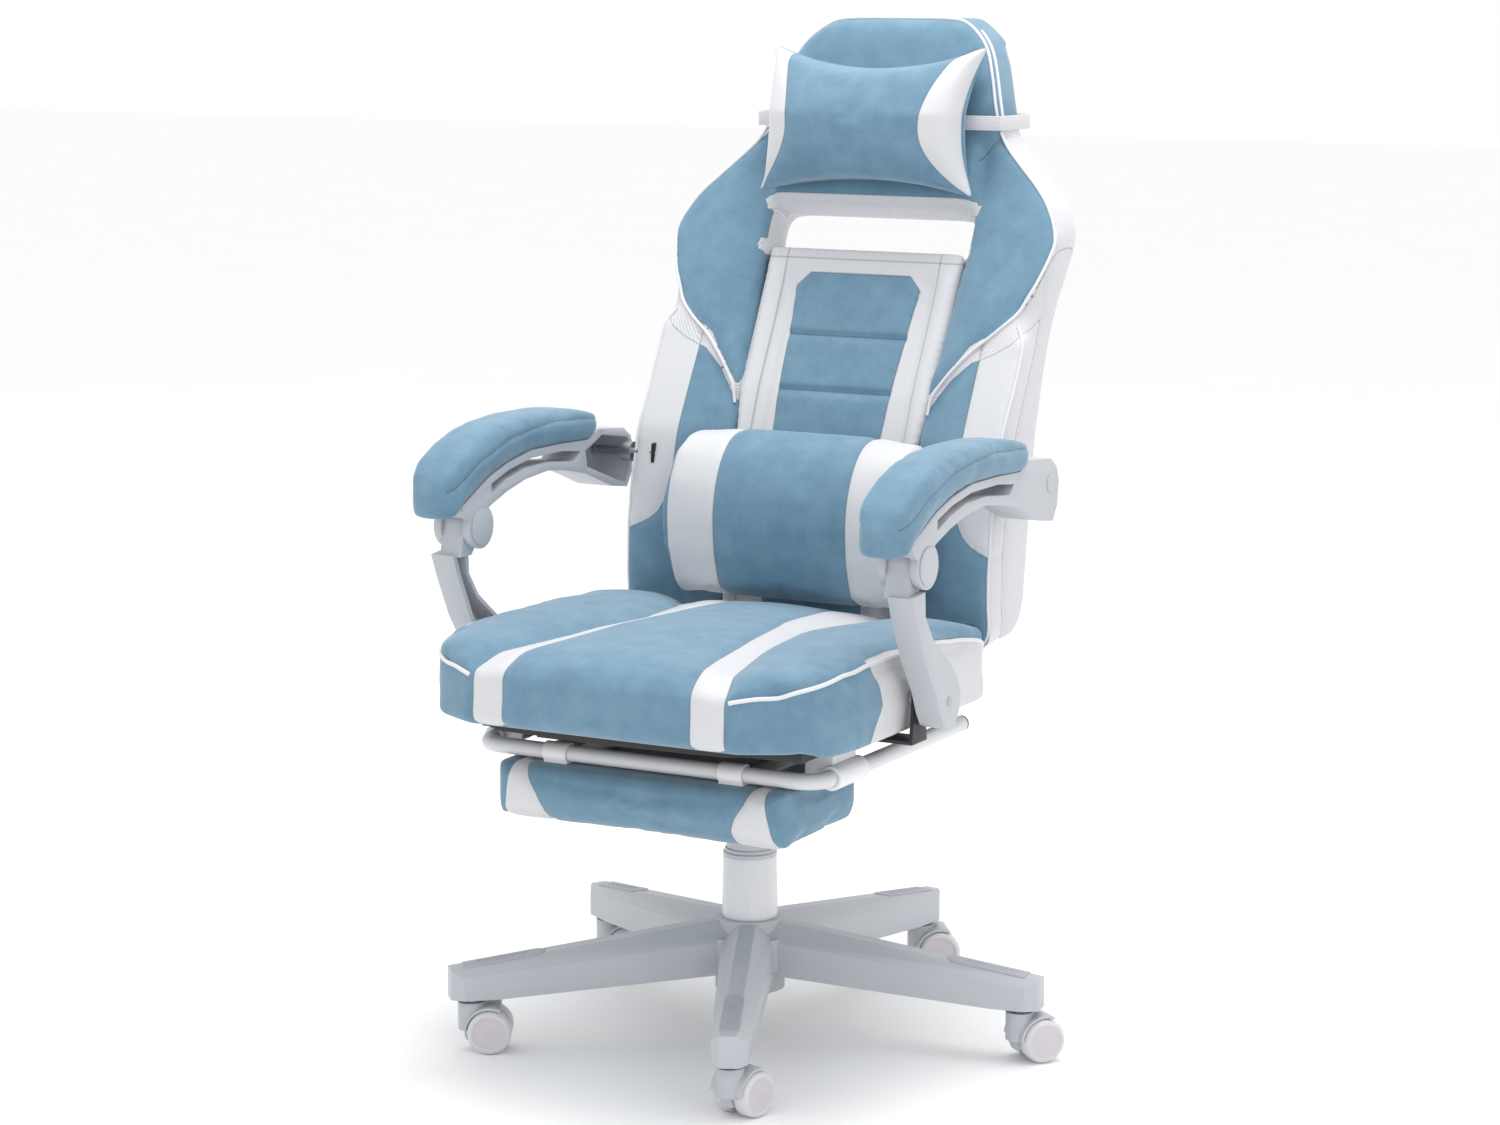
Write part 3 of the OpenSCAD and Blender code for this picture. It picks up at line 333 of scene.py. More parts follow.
def normals(piece):
    """A piece's vertex normals as an array"""
    flat = np.empty(len(piece.data.vertices) * 3, np.float32)
    piece.data.vertex_normals.foreach_get("vector", flat)
    return flat.reshape(-1, 3).astype(float)


def shape(piece, points):
    """Puts a piece's vertices at these points, in millimetres"""
    piece.data.vertices.foreach_set("co", (points * MM).astype(np.float32).ravel())
    piece.data.update()


def even_out(piece, voxel, rounds):
    """Meshes a piece afresh as one block with even faces, and rounds its edges"""
    remesh = piece.modifiers.new("even_mesh", "REMESH")
    remesh.mode = "VOXEL"
    remesh.voxel_size = voxel
    soften = piece.modifiers.new("soften", "SMOOTH")
    soften.iterations = rounds
    soften.factor = 0.5
    apply_modifiers(piece)


def foam(piece_name, *node_names, voxel=0.005, rounds=6):
    """CAD pads as one evenly meshed block of foam with rounded edges"""
    piece = copy_of(piece_name, *node_names)
    even_out(piece, voxel, rounds)
    return piece


# Length of each cloth simulation
PUFF_FRAMES = 20


def puff(piece, pressure, cap, held=None):
    """Swells a cover by cloth simulation, no point by more than cap mm. Held points stay."""
    before = coords(piece)
    cloth = piece.modifiers.new("puff", "CLOTH")
    cloth.settings.quality = 5
    cloth.settings.use_pressure = True
    cloth.settings.uniform_pressure_force = pressure
    cloth.settings.effector_weights.gravity = 0
    cloth.settings.tension_stiffness = 15
    cloth.settings.compression_stiffness = 15
    cloth.settings.bending_stiffness = 0.6
    cloth.point_cache.frame_end = PUFF_FRAMES
    for step in range(1, PUFF_FRAMES + 1):
        scene.frame_set(step)
    swollen = piece.evaluated_get(bpy.context.evaluated_depsgraph_get())
    flat = np.empty(len(swollen.data.vertices) * 3, np.float32)
    swollen.data.vertices.foreach_get("co", flat)
    move = flat.reshape(-1, 3).astype(float) / MM - before
    piece.modifiers.remove(cloth)
    scene.frame_set(1)
    length = np.linalg.norm(move, axis=1, keepdims=True)
    move *= np.minimum(1, cap / np.maximum(length, 1e-6))
    if held is not None:
        move *= (1 - held)[:, None]
    shape(piece, before + move)


def refine(piece):
    """One round of subdivision, then smooth shading"""
    finer = piece.modifiers.new("finer", "SUBSURF")
    finer.levels = 1
    finer.render_levels = 1
    apply_modifiers(piece)
    bpy.ops.object.shade_smooth()


def mark(piece, name, values):
    """Stores a signed distance in millimetres on the cover, for the material to read"""
    layer = piece.data.attributes.new(name, "FLOAT", "POINT")
    layer.data.foreach_set("value", values.astype(np.float32))


def table(at, pairs):
    """Straight-line reading of a table of (place, value)"""
    return np.interp(at, [p[0] for p in pairs], [p[1] for p in pairs])


def hill(distance, width):
    """1 at no distance, fading smoothly to nothing at about twice the width"""
    return np.exp(-((distance / width) ** 2))


def away(points, line):
    """Distance of points to a line of corners, in two or three dimensions"""
    best = np.full(len(points), 1e9)
    for a, b in zip(line[:-1], line[1:]):
        a, b = np.array(a, float), np.array(b, float)
        t = np.clip((points - a) @ (b - a) / ((b - a) @ (b - a)), 0, 1)
        best = np.minimum(best, np.linalg.norm(points - a - t[:, None] * (b - a), axis=1))
    return best


def pull_in(piece, distance, depth, width):
    """Draws the cover in by depth where a seam runs, fading over width"""
    points = coords(piece)
    shape(piece, points - normals(piece) * (depth * hill(distance, width))[:, None])


def relax(piece, points, weight, rounds):
    """Evens out a cover: each point moves to the middle of its neighbours, by its weight"""
    ends = np.empty(len(piece.data.edges) * 2, np.int32)
    piece.data.edges.foreach_get("vertices", ends)
    ends = ends.reshape(-1, 2)
    one, other = np.concatenate([ends[:, 0], ends[:, 1]]), np.concatenate([ends[:, 1], ends[:, 0]])
    count = np.maximum(np.bincount(one, minlength=len(points)), 1)
    for _ in range(rounds):
        mean = np.stack([np.bincount(one, points[other, k], len(points)) / count for k in range(3)], 1)
        points = points + (mean - points) * 0.5 * weight[:, None]
    return points


def upholstery(name):
    """Cover cloth in three sorts, by the signed distances stored on the mesh: suede-like blue
    polyester, white coated leather where "leather" is above 0, spacer mesh where "mesh" is"""
    made, tree, principled, place = start_material(name, Sheen_Weight=0.3, Sheen_Roughness=0.45)
    # Brushed nap: soft mottling over 30 mm and fibres of about 0.5 mm, drawn at 1.4 mm
    mottle = add(tree, "TexNoise", {"Vector": place, "Scale": 34.0, "Detail": 5.0, "Roughness": 0.62})
    fibre = add(tree, "TexNoise", {"Vector": place, "Scale": 720.0, "Detail": 2.0})
    nap = math_node(tree, "MULTIPLY", mottle.outputs["Fac"], 0.72)
    nap = math_node(tree, "MULTIPLY_ADD", fibre.outputs["Fac"], 0.28, nap)
    blue = add(tree, "ValToRGB", {"Fac": nap})
    blue.color_ramp.elements[0].position, blue.color_ramp.elements[1].position = 0.3, 0.7
    blue.color_ramp.elements[0].color = linear(SUEDE_DARK)
    blue.color_ramp.elements[1].color = linear(SUEDE_LIGHT)
    # Embossed leather grain: cells of about 1 mm
    grain = add(tree, "TexVoronoi", {"Vector": place, "Scale": 900.0}, feature="SMOOTH_F1")
    # Spacer mesh: rows of small holes 2.5 mm apart on the slant, laid over the front and the sides
    axes = add(tree, "SeparateXYZ", {"Vector": place})
    across = math_node(tree, "ABSOLUTE", axes.outputs["X"])
    across = math_node(tree, "ADD", across, axes.outputs["Y"])
    flat = add(tree, "CombineXYZ", {"X": across, "Y": axes.outputs["Z"]})
    turned = add(tree, "Mapping", {"Vector": flat.outputs["Vector"], "Rotation": (0, 0, math.radians(45))})
    rows = {"Vector": turned.outputs["Vector"], "Scale": 400.0}
    holes = add(tree, "TexVoronoi", rows, voronoi_dimensions="2D")
    holes.inputs["Randomness"].default_value = 0.06
    hole = add(tree, "MapRange", {"Value": holes.outputs["Distance"], 1: 0.16, 2: 0.42})
    # The holes are drawn darker than the mesh face as painted shade inside them
    net = blend(tree, hole.outputs["Result"], "#b4b6bb", "#d7d7da")
    # A sort starts where its distance passes 0. Along the sewn lines between sorts and along the other seams
    # the colour is darkened as painted shade in the seams' creases
    edge, line = {}, {}
    for sort in ("leather", "mesh"):
        value = add(tree, "Attribute", attribute_name=sort).outputs["Fac"]
        edge[sort] = add(tree, "MapRange", {"Value": value, 1: -0.25, 2: 0.25}).outputs["Result"]
        gap = math_node(tree, "ABSOLUTE", value)
        seam_crease_shade = add(tree, "MapRange", {"Value": gap, 1: 0.2, 2: 1.3, 3: 0.62, 4: 1.0})
        line[sort] = seam_crease_shade.outputs[0]
    # Painted shade along the creases of the other seams, read from the seam distance
    seam = add(tree, "Attribute", attribute_name="seam")
    seam = add(tree, "MapRange", {"Value": seam.outputs["Fac"], 1: 0.2, 2: 1.6, 3: 0.55, 4: 1.0})
    colour = blend(tree, edge["leather"], blue.outputs["Color"], "#cdced1")
    colour = blend(tree, edge["mesh"], colour.outputs[2], net.outputs[2])
    # The colour is multiplied by the painted shade of all the seam creases
    dark = math_node(tree, "MULTIPLY", line["leather"], line["mesh"])
    dark = math_node(tree, "MULTIPLY", dark, seam.outputs[0])
    colour = add(tree, "VectorMath", {0: colour.outputs[2], 3: dark}, operation="SCALE")
    tree.links.new(colour.outputs[0], principled.inputs["Base Color"])
    rough = add(tree, "Mix", {0: edge["leather"], 2: 0.88, 3: 0.55})
    rough = add(tree, "Mix", {0: edge["mesh"], 2: rough.outputs[0], 3: 0.75})
    tree.links.new(rough.outputs[0], principled.inputs["Roughness"])
    pebbles = math_node(tree, "MULTIPLY", grain.outputs["Distance"], 0.12)
    height = add(tree, "Mix", {0: edge["leather"], 2: nap, 3: pebbles})
    height = add(tree, "Mix", {0: edge["mesh"], 2: height.outputs[0], 3: hole.outputs["Result"]})
    bump = add(tree, "Bump", {"Height": height.outputs[0], "Distance": 0.0006, "Strength": 0.45})
    tree.links.new(bump.outputs["Normal"], principled.inputs["Normal"])
    return made


SUEDE_DARK, SUEDE_LIGHT = "#5c7f96", "#7194a9"
cover_cloth = upholstery("suede_leather_and_spacer_mesh")


def upholster(piece, leather=None, mesh=None, seam=None):
    """Stores where the sorts of cloth meet, and gives the cover its material"""
    far = np.full(len(piece.data.vertices), float(FAR))
    mark(piece, "leather", -far if leather is None else leather)
    mark(piece, "mesh", -far if mesh is None else mesh)
    mark(piece, "seam", far if seam is None else seam)
    piece.data.materials.append(cover_cloth)


def smooth_line(corners, step=4.0):
    """A smooth curve through corners, in mm, as points about step mm apart"""
    p = [Vector(c) for c in corners]
    p = [2 * p[0] - p[1], *p, 2 * p[-1] - p[-2]]
    line = []
    for a, b, c, d in zip(p, p[1:], p[2:], p[3:]):
        for k in range(max(1, round((c - b).length / step))):
            t = k / max(1, round((c - b).length / step))
            square = (2 * a - 5 * b + 4 * c - d) * t**2
            cube = (3 * b - a - 3 * c + d) * t**3
            line.append(0.5 * ((2 * b) + (c - a) * t + square + cube))
    return [*line, p[-2]]


# Piping: a cord in a sleeve of white coated leather, sewn into the seam
piping_leather = grained_plastic("white_coated_leather", "#d8d9dc", "#dfdfe2", 0.42, 1.1, 0.1)


def piping(piece_name, lines, radius, onto, lift=0.3, finish=piping_leather):
    """Cords along lines of corners in mm, laid on a cover and sunk in it by their lift"""
    data = bpy.data.curves.new(piece_name, "CURVE")
    data.dimensions = "3D"
    data.bevel_depth = radius * MM
    data.bevel_resolution = 3
    data.use_fill_caps = True
    tree = BVHTree.FromObject(onto, bpy.context.evaluated_depsgraph_get())
    for corners in lines:
        path = []
        for point in smooth_line(corners):
            found, normal, _, _ = tree.find_nearest(point * MM)
            path.append(found + normal * radius * lift * MM)
        for _ in range(8):
            path[1:-1] = [(a + 2 * b + c) / 4 for a, b, c in zip(path, path[1:], path[2:])]
        spline = data.splines.new("POLY")
        spline.points.add(len(path) - 1)
        for knot, point in zip(spline.points, path):
            knot.co = (*point, 1)
    piece = bpy.data.objects.new(piece_name, data)
    scene.collection.objects.link(piece)
    select_only(piece)
    bpy.ops.object.convert(target="MESH")
    bpy.ops.object.shade_smooth()
    piece.data.materials.clear()
    piece.data.materials.append(finish)
    return piece


def both_ways(lines):
    """Lines of corners and their mirror images across the middle plane"""
    return lines + [[(-x, y, z) for x, y, z in line] for line in lines]


strip_inner = [(-352, 117), (-335, 115), (-300, 110), (-255, 102), (-140, 85), (-45, 69), (57, 64), (116, 72)]
strip_outer = [(-352, 157), (-330, 154), (-297, 144), (-190, 119), (-60, 100), (45, 121), (116, 150)]
mesh_front = [(404, -189), (438, -171), (487, -190)]
side_piping = [(-400, 470), (-235, 487), (-139, 489), (-29, 484), (38, 475), (88, 464), (110, 448)]
seat = foam("seat_upholstery", "seat_cushion", "seat_bolsters", voxel=0.006, rounds=9)
p = coords(seat)
top = np.clip((p[:, 2] - 440) / 40, 0, 1)
wide = np.abs(p[:, 0])
valley = table(p[:, 1], strip_outer)
# A crown in the middle, a valley along each strip and a low ridge over each bolster
p[:, 2] += top * (5 * hill(wide, 70) - 7 * hill(wide - valley + 4, 22))
p[:, 2] += top * 4 * hill(wide - 190, 40)
# The side walls reach a little lower, and the rear edge a little further back
p[:, 2] -= 9 * np.clip((wide - 222) / 12, 0, 1) * np.clip((424 - p[:, 2]) / 16, 0, 1)
p[:, 1] += 9 * np.clip((p[:, 1] - 96) / 12, 0, 1)
shape(seat, p)
puff(seat, 2.0, 3.5, held=1 - np.clip((p[:, 2] - 408) / 30, 0, 1))
refine(seat)
p = coords(seat)
wide = np.abs(p[:, 0])
upper = np.where(p[:, 2] > 407, 0, 60)
strip = np.minimum(wide - table(p[:, 1], strip_inner), table(p[:, 1], strip_outer) - wide) - upper
wall = np.minimum(
    np.minimum(p[:, 1] - table(p[:, 2], mesh_front), table(p[:, 1], side_piping) - p[:, 2]), wide - 218
)
pull_in(seat, strip, 2.2, 4.5)
front_corner = [(157, -346, 464), (198, -322, 468), (236, -262, 477), (250, -200, 488)]
front_seam = away(np.column_stack([wide, p[:, 1], p[:, 2]]), front_corner)
pull_in(seat, np.where(wide > 150, front_seam, FAR), 2.0, 5)
upholster(seat, leather=strip, mesh=wall)
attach(seat, "seat")
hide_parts("seat_cushion", "seat_bolsters")
seat_edge = [
    (157, -350, 464), (185, -345, 466), (212, -322, 469), (236, -275, 476), (250, -225, 486),
    (254, -180, 489), (254, -139, 489), (254, -85, 487), (254, -29, 483), (254, 14, 478),
    (252, 50, 472), (246, 84, 463), (236, 108, 448),
]
edge_cord = piping("seat_piping", both_ways([seat_edge]), 2.4, seat)
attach(edge_cord, "seat")

# ---- Footrest: a bent steel tube in white powder coat, sliding in nylon sleeves ----
# The padded foot cushion hangs on two clasps, and turns over when it is drawn out.
white_coat = grained_plastic("white_powder_coat", "#cdced2", "#d3d4d7", 0.3, 1.6, 0.05)
for node_name, finish in [("footrest_tube", white_coat), ("tube_plugs", black_nylon)]:
    painted(node_name, finish)
for piece_name, node_name, body, slot, edge in [
    ("rail_sleeves_moulded", "rail_sleeves", "seat", "white_plastic", 0.0015),
    ("footrest_clasps", "footrest_hangers", "footrest_pad", "white_plastic", 0.0012),
]:
    piece = moulded(piece_name, node_name, edge=edge)
    piece.data.materials.append(white_polypropylene)
    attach(piece, body)
    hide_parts(node_name)

low, high = (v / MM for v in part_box("footrest_pad"))
foot = foam("footrest_cushion", "footrest_pad", voxel=0.0045, rounds=14)
p = coords(foot)
puff(foot, 2.0, 3, held=np.clip((p[:, 2] - high[2] + 16) / 14, 0, 1))
refine(foot)
p = coords(foot)
wide = np.abs(p[:, 0])
depth = high[2] - p[:, 2]
band = np.minimum(
    wide - table(depth, [(0, 140), (16, 134), (32, 124), (48, 118), (70, 116)]),
    table(depth, [(0, 158), (20, 162), (40, 166), (70, 172)]) - wide,
)
band = np.minimum(band, 60 - (p[:, 1] - low[1]))
pull_in(foot, band, 1.6, 4)
upholster(foot, leather=band)
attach(foot, "footrest_pad")
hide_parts("footrest_pad")

# ---- Back: foam panels sewn together over a tube frame, with a window under the head ----
# Side panels, shoulder wings, a head cushion and the cover round the frame are sewn into
# one jacket: blue suede-like cloth, white coated leather, and white spacer mesh at the sides.
# Depth of the front and the rear faces by height, and the wings' half width and edge depth
FRONT = [(443, 131), (500, 125), (550, 127), (610, 136), (670, 152), (720, 178), (775, 208), (820, 226)]
REAR = [
    (443, 174), (480, 196), (568, 209), (664, 222), (753, 248), (798, 266), (885, 303), (960, 334),
    (1030, 356), (1100, 378), (1150, 394),
]
WING_X = [
    (703, 124), (720, 130), (750, 151), (780, 176), (800, 203), (820, 224), (840, 236), (860, 246),
    (880, 252), (900, 254), (920, 249), (940, 235), (960, 215), (980, 192), (1000, 173), (1021, 160),
    (1040, 152), (1060, 145), (1080, 139), (1100, 134), (1120, 125), (1130, 118), (1150, 96),
]
WING_Y = [
    (703, 188), (720, 189), (750, 198), (780, 207), (800, 222), (820, 233), (840, 239), (860, 251),
    (880, 260), (900, 269), (920, 278), (940, 288), (960, 302), (980, 311), (1000, 318), (1021, 321),
    (1060, 330), (1100, 343), (1140, 361), (1150, 368),
]
side = foam("side_panels", "back_side_pads", voxel=0.005, rounds=6)
p = coords(side)
wide = np.abs(p[:, 0])
ahead = np.clip((table(p[:, 2], REAR) - p[:, 1]) / (table(p[:, 2], REAR) - table(p[:, 2], FRONT)), 0, 1)
# The panels slope back towards the middle, and their faces swell between the seams
p[:, 1] += ahead * 27 * np.clip((232 - wide) / 110, 0, 1) ** 1.1
p[:, 1] -= ahead**2 * 5 * hill(wide - 180, 38)
shape(side, p)

wings = foam("shoulder_wings", "wing_pads", voxel=0.005, rounds=6)
p = coords(wings)
wide = np.abs(p[:, 0])
reach = table(p[:, 2], WING_X)
ahead = np.clip((table(p[:, 2], REAR) - p[:, 1]) / (table(p[:, 2], REAR) - table(p[:, 2], WING_Y)), 0, 1)
inwards = np.clip((reach - 6 - wide) / np.maximum(reach - 128, 30), 0, 1)
p[:, 1] += ahead * (20 * inwards - 7 * np.sin(inwards * math.pi))
shape(wings, p)

head = foam("head_cushion", "head_pad", voxel=0.005, rounds=6)
p = coords(head)
ahead = np.clip((table(p[:, 2], REAR) - p[:, 1]) / 45, 0, 1)
p[:, 1] -= ahead * 6 * np.clip((table(p[:, 2], WING_X) - np.abs(p[:, 0])) / 60, 0, 1) ** 0.7
shape(head, p)

# The window's half width and middle height, and how far round the side the mesh starts
WINDOW_HALF, WINDOW_Z, MESH_START = 139, 909, 34
# Height of the wings' lower edge, by distance from the middle
WING_BOTTOM = [(124, 703), (151, 750), (176, 780), (203, 800), (224, 820), (236, 840), (254, 900)]
# The pads' rear faces go on into the shell, so that the jacket closes over the joints
for pad in (side, wings, head):
    p = coords(pad)
    p[:, 1] += 14 * np.clip((p[:, 1] - table(p[:, 2], REAR) + 9) / 6, 0, 1)
    shape(pad, p)
# Foam fills the sides between the front pads and the rear shell
SIDE_X = [(450, 236), (470, 238), (790, 238), (820, 242), (860, 249), (900, 252)]
SIDE_X += [(z, x - 2) for z, x in WING_X[10:16]]
FILL_Y = [
    (443, 155), (500, 149), (610, 160), (720, 202), (800, 236), (840, 256), (900, 292), (960, 325),
    (1020, 346),
]
bpy.ops.object.select_all(action="DESELECT")
bpy.ops.mesh.primitive_cube_add(size=2)
filling = bpy.context.object
bpy.ops.object.mode_set(mode="EDIT")
bpy.ops.mesh.select_all(action="SELECT")
bpy.ops.mesh.subdivide(number_cuts=24)
bpy.ops.mesh.duplicate()
bpy.ops.object.mode_set(mode="OBJECT")
q = coords(filling) * MM
z = 450 + (q[:, 2] + 1) / 2 * 560
x = 134 + (q[:, 0] + 1) / 2 * (table(z, SIDE_X) - 134)
y = table(z, FILL_Y) + (q[:, 1] + 1) / 2 * (table(z, REAR) + 31 - table(z, FILL_Y))
x[len(x) // 2 :] *= -1
shape(filling, np.column_stack([x, y, z]))
bpy.ops.object.mode_set(mode="EDIT")
bpy.ops.mesh.select_all(action="SELECT")
bpy.ops.mesh.normals_make_consistent(inside=False)
bpy.ops.object.mode_set(mode="OBJECT")
jacket = copy_of("back_jacket", "rear_shell")
select_only(jacket, side, wings, head, filling)
bpy.ops.object.join()
even_out(jacket, voxel=0.0048, rounds=9)
bpy.ops.object.shade_smooth()
p = coords(jacket)
p[:, 0] *= 1 - 0.12 * np.clip((p[:, 2] - 1100) / 50, 0, 1) ** 2
wide, high = np.abs(p[:, 0]), p[:, 2]
below = table(wide, WING_BOTTOM) - high
wing_side = p[:, 1] - table(high, WING_Y) + wide - table(high, WING_X)
panel_side = p[:, 1] - table(high, FRONT) + wide - 240
wall = np.where(below < 0, wing_side, panel_side)
band = np.minimum(below + 5, table(wide, [(122, 8), (170, 22), (240, 48)]) - below)
lining = np.minimum(WINDOW_HALF - wide, 46 - np.abs(high - WINDOW_Z))
loose = np.maximum(np.clip((wall - 8) / 8, 0, 1) * (wide > 120), np.clip(band / 5, 0, 1))
p = relax(jacket, p, np.maximum(loose, 0.8 * np.clip(lining / 6, 0, 1)), 30)
shape(jacket, p)
wide, high = np.abs(p[:, 0]), p[:, 2]
below = table(wide, WING_BOTTOM) - high
wing_depth = p[:, 1] - table(high, WING_Y)
wing_wall = np.maximum(wing_depth + wide - table(high, WING_X) - 2, wing_depth - 52)
wing_wall = np.minimum(wing_wall, 1024 - high)
panel_depth = p[:, 1] - table(high, FRONT)
panel_wall = np.maximum(panel_depth + wide - 241, panel_depth - 52)
white_edge = [
    (443, 262), (545, 250), (553, 232), (562, 212), (572, 200), (590, 190), (620, 186), (780, 184),
    (850, 184),
]
white_panel = wide - table(high, white_edge)
v_band = np.minimum(below, table(wide, [(122, 3), (170, 16), (240, 40)]) - below)
v_band = np.where(panel_depth < 60, v_band, -FAR)
slope = (p[:, 1] - 280) * 0.488
tunnel = np.minimum(np.abs(high - 882 + slope), np.abs(high - 940 + slope))
tunnel = np.where((wide < 142) & (p[:, 1] > 270) & (high < 1000), 9 - tunnel, -FAR)
jamb = np.minimum(np.minimum(WINDOW_HALF - wide, 41 - np.abs(high - WINDOW_Z)), wing_depth - 24)
mesh = np.maximum(v_band, np.where(below < 0, wing_wall, panel_wall - MESH_START))
leather = np.minimum(np.maximum(white_panel, panel_wall), below)
edges = np.minimum(np.where(panel_depth < 30, np.abs(white_panel), FAR), np.abs(panel_wall - MESH_START))
pull_in(jacket, np.where(below < 4, FAR, edges), 1.8, 4)
neck_seam = away(np.column_stack([wide, high]), [(158, 1014), (146, 1004), (132, 984)])
neck_seam = np.where(wing_depth < 25, neck_seam, FAR)
pull_in(jacket, neck_seam, 1.6, 3.5)
upholster(jacket, leather=leather, mesh=np.maximum(mesh, np.maximum(tunnel, jamb)), seam=neck_seam)
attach(jacket, "backrest")
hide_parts("rear_shell", "back_side_pads", "wing_pads", "head_pad")

# ---- Middle of the back: a channelled blue panel in a white frame between raised rails ----
# The channels are quilted with two rows of stitches. Spacer mesh lines the window above.
# Depth of the panel's face and half width of the blue insert by height; heights of the channels
CENTRE = [(443, 146), (560, 150), (640, 172), (720, 204), (800, 246), (850, 270), (900, 290)]
insert_half = [(443, 64), (674, 71), (800, 78), (838, 82)]
channels = (781, 719, 657, 595, 533)
middle = foam("middle_panel", "back_centre_pad", voxel=0.0045, rounds=4)
refine(middle)
p = coords(middle)
wide = np.abs(p[:, 0])
ahead = np.clip(1 - (p[:, 1] - table(p[:, 2], CENTRE)) / 22, 0, 1)
insert_top = 852 - np.maximum(wide - 66, 0)
insert = np.maximum(wide - table(p[:, 2], insert_half), p[:, 2] - insert_top)
channel = np.min([np.abs(p[:, 2] - z) for z in channels], axis=0)
cushion = 4 * np.clip(-insert / 14, 0, 1) ** 0.5 - 4.5 * hill(channel, 5) * (insert < 0)
hollow = -6 * hill(wide - 92, 9) * np.clip((862 - p[:, 2]) / 22, 0, 1)
rail = 5 * hill(wide - 111, 8) * np.clip((872 - p[:, 2]) / 24, 0, 1)
p[:, 1] -= ahead * (cushion * (insert < 0) + hollow * (insert > 0) + rail)
p[:, 0] += np.sign(p[:, 0]) * 9 * np.clip((wide - 104) / 16, 0, 1) * np.clip((p[:, 2] - 660) / 60, 0, 1)
shape(middle, p)
lip = p[:, 2] - 868
seam = np.where((ahead > 0) & (insert < 0), channel, FAR)
rail_seam = np.where(ahead > 0.4, np.abs(wide - 101), FAR)
upholster(middle, leather=insert, mesh=lip, seam=np.minimum(seam, rail_seam))
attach(middle, "backrest")
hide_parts("back_centre_pad")

# ---- Piping of the back: white cords round the wings, the head and the side panels ----
# The head has a second cord 10 mm behind the first, down to the strap.
wing_edge = [(x, y - 1, z) for (z, x), (_, y) in zip(WING_X[:16], WING_Y[:16])]
head_edge = [
    (158, 321, 1024), (152, 324, 1040), (145, 330, 1060), (139, 336, 1080), (134, 343, 1100),
    (125, 353, 1120), (109, 361, 1140), (92, 368, 1149), (60, 372, 1151), (0, 373, 1151),
]
second_edge = [(x + 1, y + 11, z) for x, y, z in head_edge[:7]]
side_edge = [
    (228, 131, 445), (239, 129, 462), (241, 125, 500), (241, 127, 550), (241, 136, 610), (241, 152, 670),
    (241, 165, 700), (241, 184, 730), (240, 201, 760), (237, 215, 785), (228, 222, 808),
]
for piece_name, lines, radius in [
    ("wing_piping", [wing_edge], 2.0),
    ("head_piping", [head_edge, second_edge], 2.0),
    ("side_panel_piping", [side_edge], 1.6),
]:
    cord = piping(piece_name, both_ways(lines), radius, jacket, lift=0.5)
    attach(cord, "backrest")

# ---- Head pillow: a stuffed bag, blue in the middle with white crescent ends ----
# Two sheets are sewn round the edge and stuffed with fibre; elastic webbing goes round
# the neck of the back and holds it.
bpy.ops.object.select_all(action="DESELECT")
bpy.ops.mesh.primitive_cube_add(size=2)
pillow = bpy.context.object
pillow.name = "head_cushion_pillow"
bpy.ops.object.mode_set(mode="EDIT")
bpy.ops.mesh.select_all(action="SELECT")
bpy.ops.mesh.subdivide(number_cuts=31)
bpy.ops.object.mode_set(mode="OBJECT")
q = coords(pillow) * MM
u, v, w = q[:, 0], q[:, 2], q[:, 1]
fat = np.clip(1 - np.abs(u) ** 3.2, 0, 1) ** 0.5 * np.clip(1 - np.abs(v) ** 2.6, 0, 1) ** 0.5
x = u * (127 + 13 * v**2)
z = v * (66 + (21 + 5 * np.tanh(2.5 * v)) * u**2) + 1027
seam_y = table(z, [(952, 280), (1000, 282), (1042, 284), (1080, 300), (1120, 318)])
y = seam_y + w * (3 + 44 * fat)
head_face = [(945, 288), (960, 294), (992, 305), (1015, 308), (1046, 308), (1068, 324), (1120, 346)]
pillow_back = table(z, head_face)
shape(pillow, np.column_stack([x, np.minimum(y, pillow_back), z]))
puff(pillow, 2.0, 4, held=(w >= 0.99).astype(float))
crescent = np.abs(x) - np.where(v > 0, 87 + 24 * v**2, 87 + 52 * v**2)
pull_in(pillow, np.where(w < 0.5, crescent, FAR), 1.2, 5)
upholster(pillow, leather=np.where(w < 0.6, crescent, -8.0))
refine(pillow)
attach(pillow, "backrest")
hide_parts("head_pillow")

elastic, tree, principled, place = start_material("white_elastic_webbing", Roughness=0.8, Sheen_Weight=0.1)
ribs = add(tree, "TexWave", {"Vector": place, "Scale": 150.0}, bands_direction="Z")
tint = blend(tree, ribs.outputs["Fac"], "#c8c9cc", "#d9d9dc")
bump = add(tree, "Bump", {"Height": ribs.outputs["Fac"], "Distance": 0.0003, "Strength": 0.5})
tree.links.new(tint.outputs[2], principled.inputs["Base Color"])
tree.links.new(bump.outputs["Normal"], principled.inputs["Normal"])
strap = moulded("head_strap_webbing", "head_strap", edge=0.0004)
strap.data.materials.append(elastic)
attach(strap, "backrest")
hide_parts("head_strap")

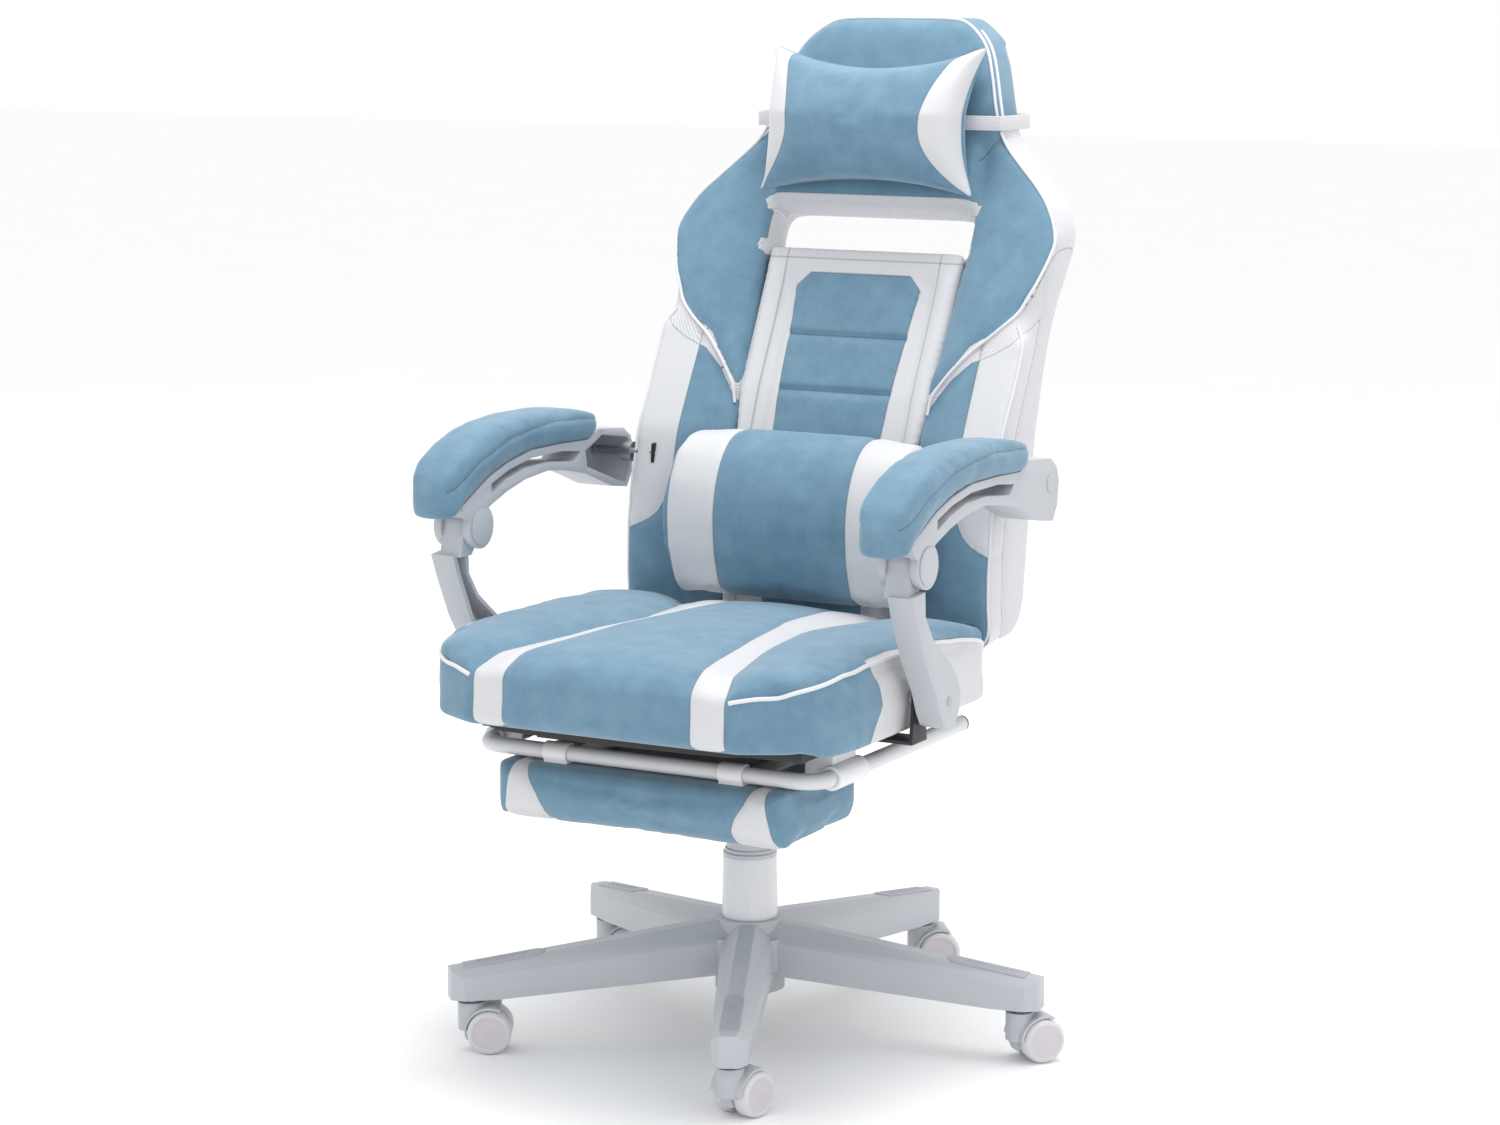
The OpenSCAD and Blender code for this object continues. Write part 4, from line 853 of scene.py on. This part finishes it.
# ---- Lumbar pillow: a stuffed roll, blue in the middle with two white bands ----
# It is sewn from three strips round the roll and two blue end pieces.
lumbar = foam("lumbar_cushion", "lumbar_pillow", voxel=0.0045, rounds=22)
p = coords(lumbar)
p[:, 0] *= 0.89
shape(lumbar, p)
puff(lumbar, 2.5, 5, held=np.clip((p[:, 1] - 120) / 10, 0, 1))
refine(lumbar)
p = coords(lumbar)
wide = np.abs(p[:, 0])
band = np.minimum(wide - 86, 149 - wide)
pull_in(lumbar, band, 1.8, 4.5)
upholster(lumbar, leather=band)
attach(lumbar, "backrest")
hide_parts("lumbar_pillow")

# ---- Armrests: grey nylon beams on links, under pads of foam in blue suede-like cloth ----
# A sewn line runs along each side of a pad. The pads are made once and mirrored.
for side_name in ("left", "right"):
    for piece_name, node_name, body, edge in [
        (f"arm_link_{side_name}", f"link_{side_name}", f"link_{side_name}", 0.002),
        (f"arm_beam_moulded_{side_name}", f"arm_beam_{side_name}", f"armrest_{side_name}", 0.0022),
        (f"arm_bolt_caps_{side_name}", f"arm_caps_{side_name}", f"armrest_{side_name}", 0.0008),
    ]:
        piece = moulded(piece_name, node_name, edge=edge)
        piece.data.materials.append(grey_nylon)
        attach(piece, body)
        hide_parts(node_name)

arm_seam = [
    (96, 684), (60, 689), (-17, 694), (-66, 690), (-115, 684), (-177, 664), (-218, 641), (-241, 632),
    (-274, 631),
]
pads = {"left": foam("arm_cushion_left", "arm_pad_left", voxel=0.004, rounds=26)}
p = coords(pads["left"])
low, high = (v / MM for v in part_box("arm_pad_left"))
puff(pads["left"], 2.0, 2.5)
refine(pads["left"])
p = coords(pads["left"])
line = away(p[:, 1:], arm_seam)
middle_x = (low[0] + high[0]) / 2
line = np.where(np.abs(p[:, 0] - middle_x) > 22, line, FAR)
pull_in(pads["left"], line, 1.4, 3.5)
upholster(pads["left"], seam=line)
pads["right"] = bpy.data.objects.new("arm_cushion_right", pads["left"].data.copy())
scene.collection.objects.link(pads["right"])
shape(pads["right"], coords(pads["right"]) * (-1, 1, 1))
select_only(pads["right"])
bpy.ops.object.mode_set(mode="EDIT")
bpy.ops.mesh.select_all(action="SELECT")
bpy.ops.mesh.flip_normals()
bpy.ops.object.mode_set(mode="OBJECT")
for side_name, pad in pads.items():
    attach(pad, f"armrest_{side_name}")
    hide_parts(f"arm_pad_{side_name}")
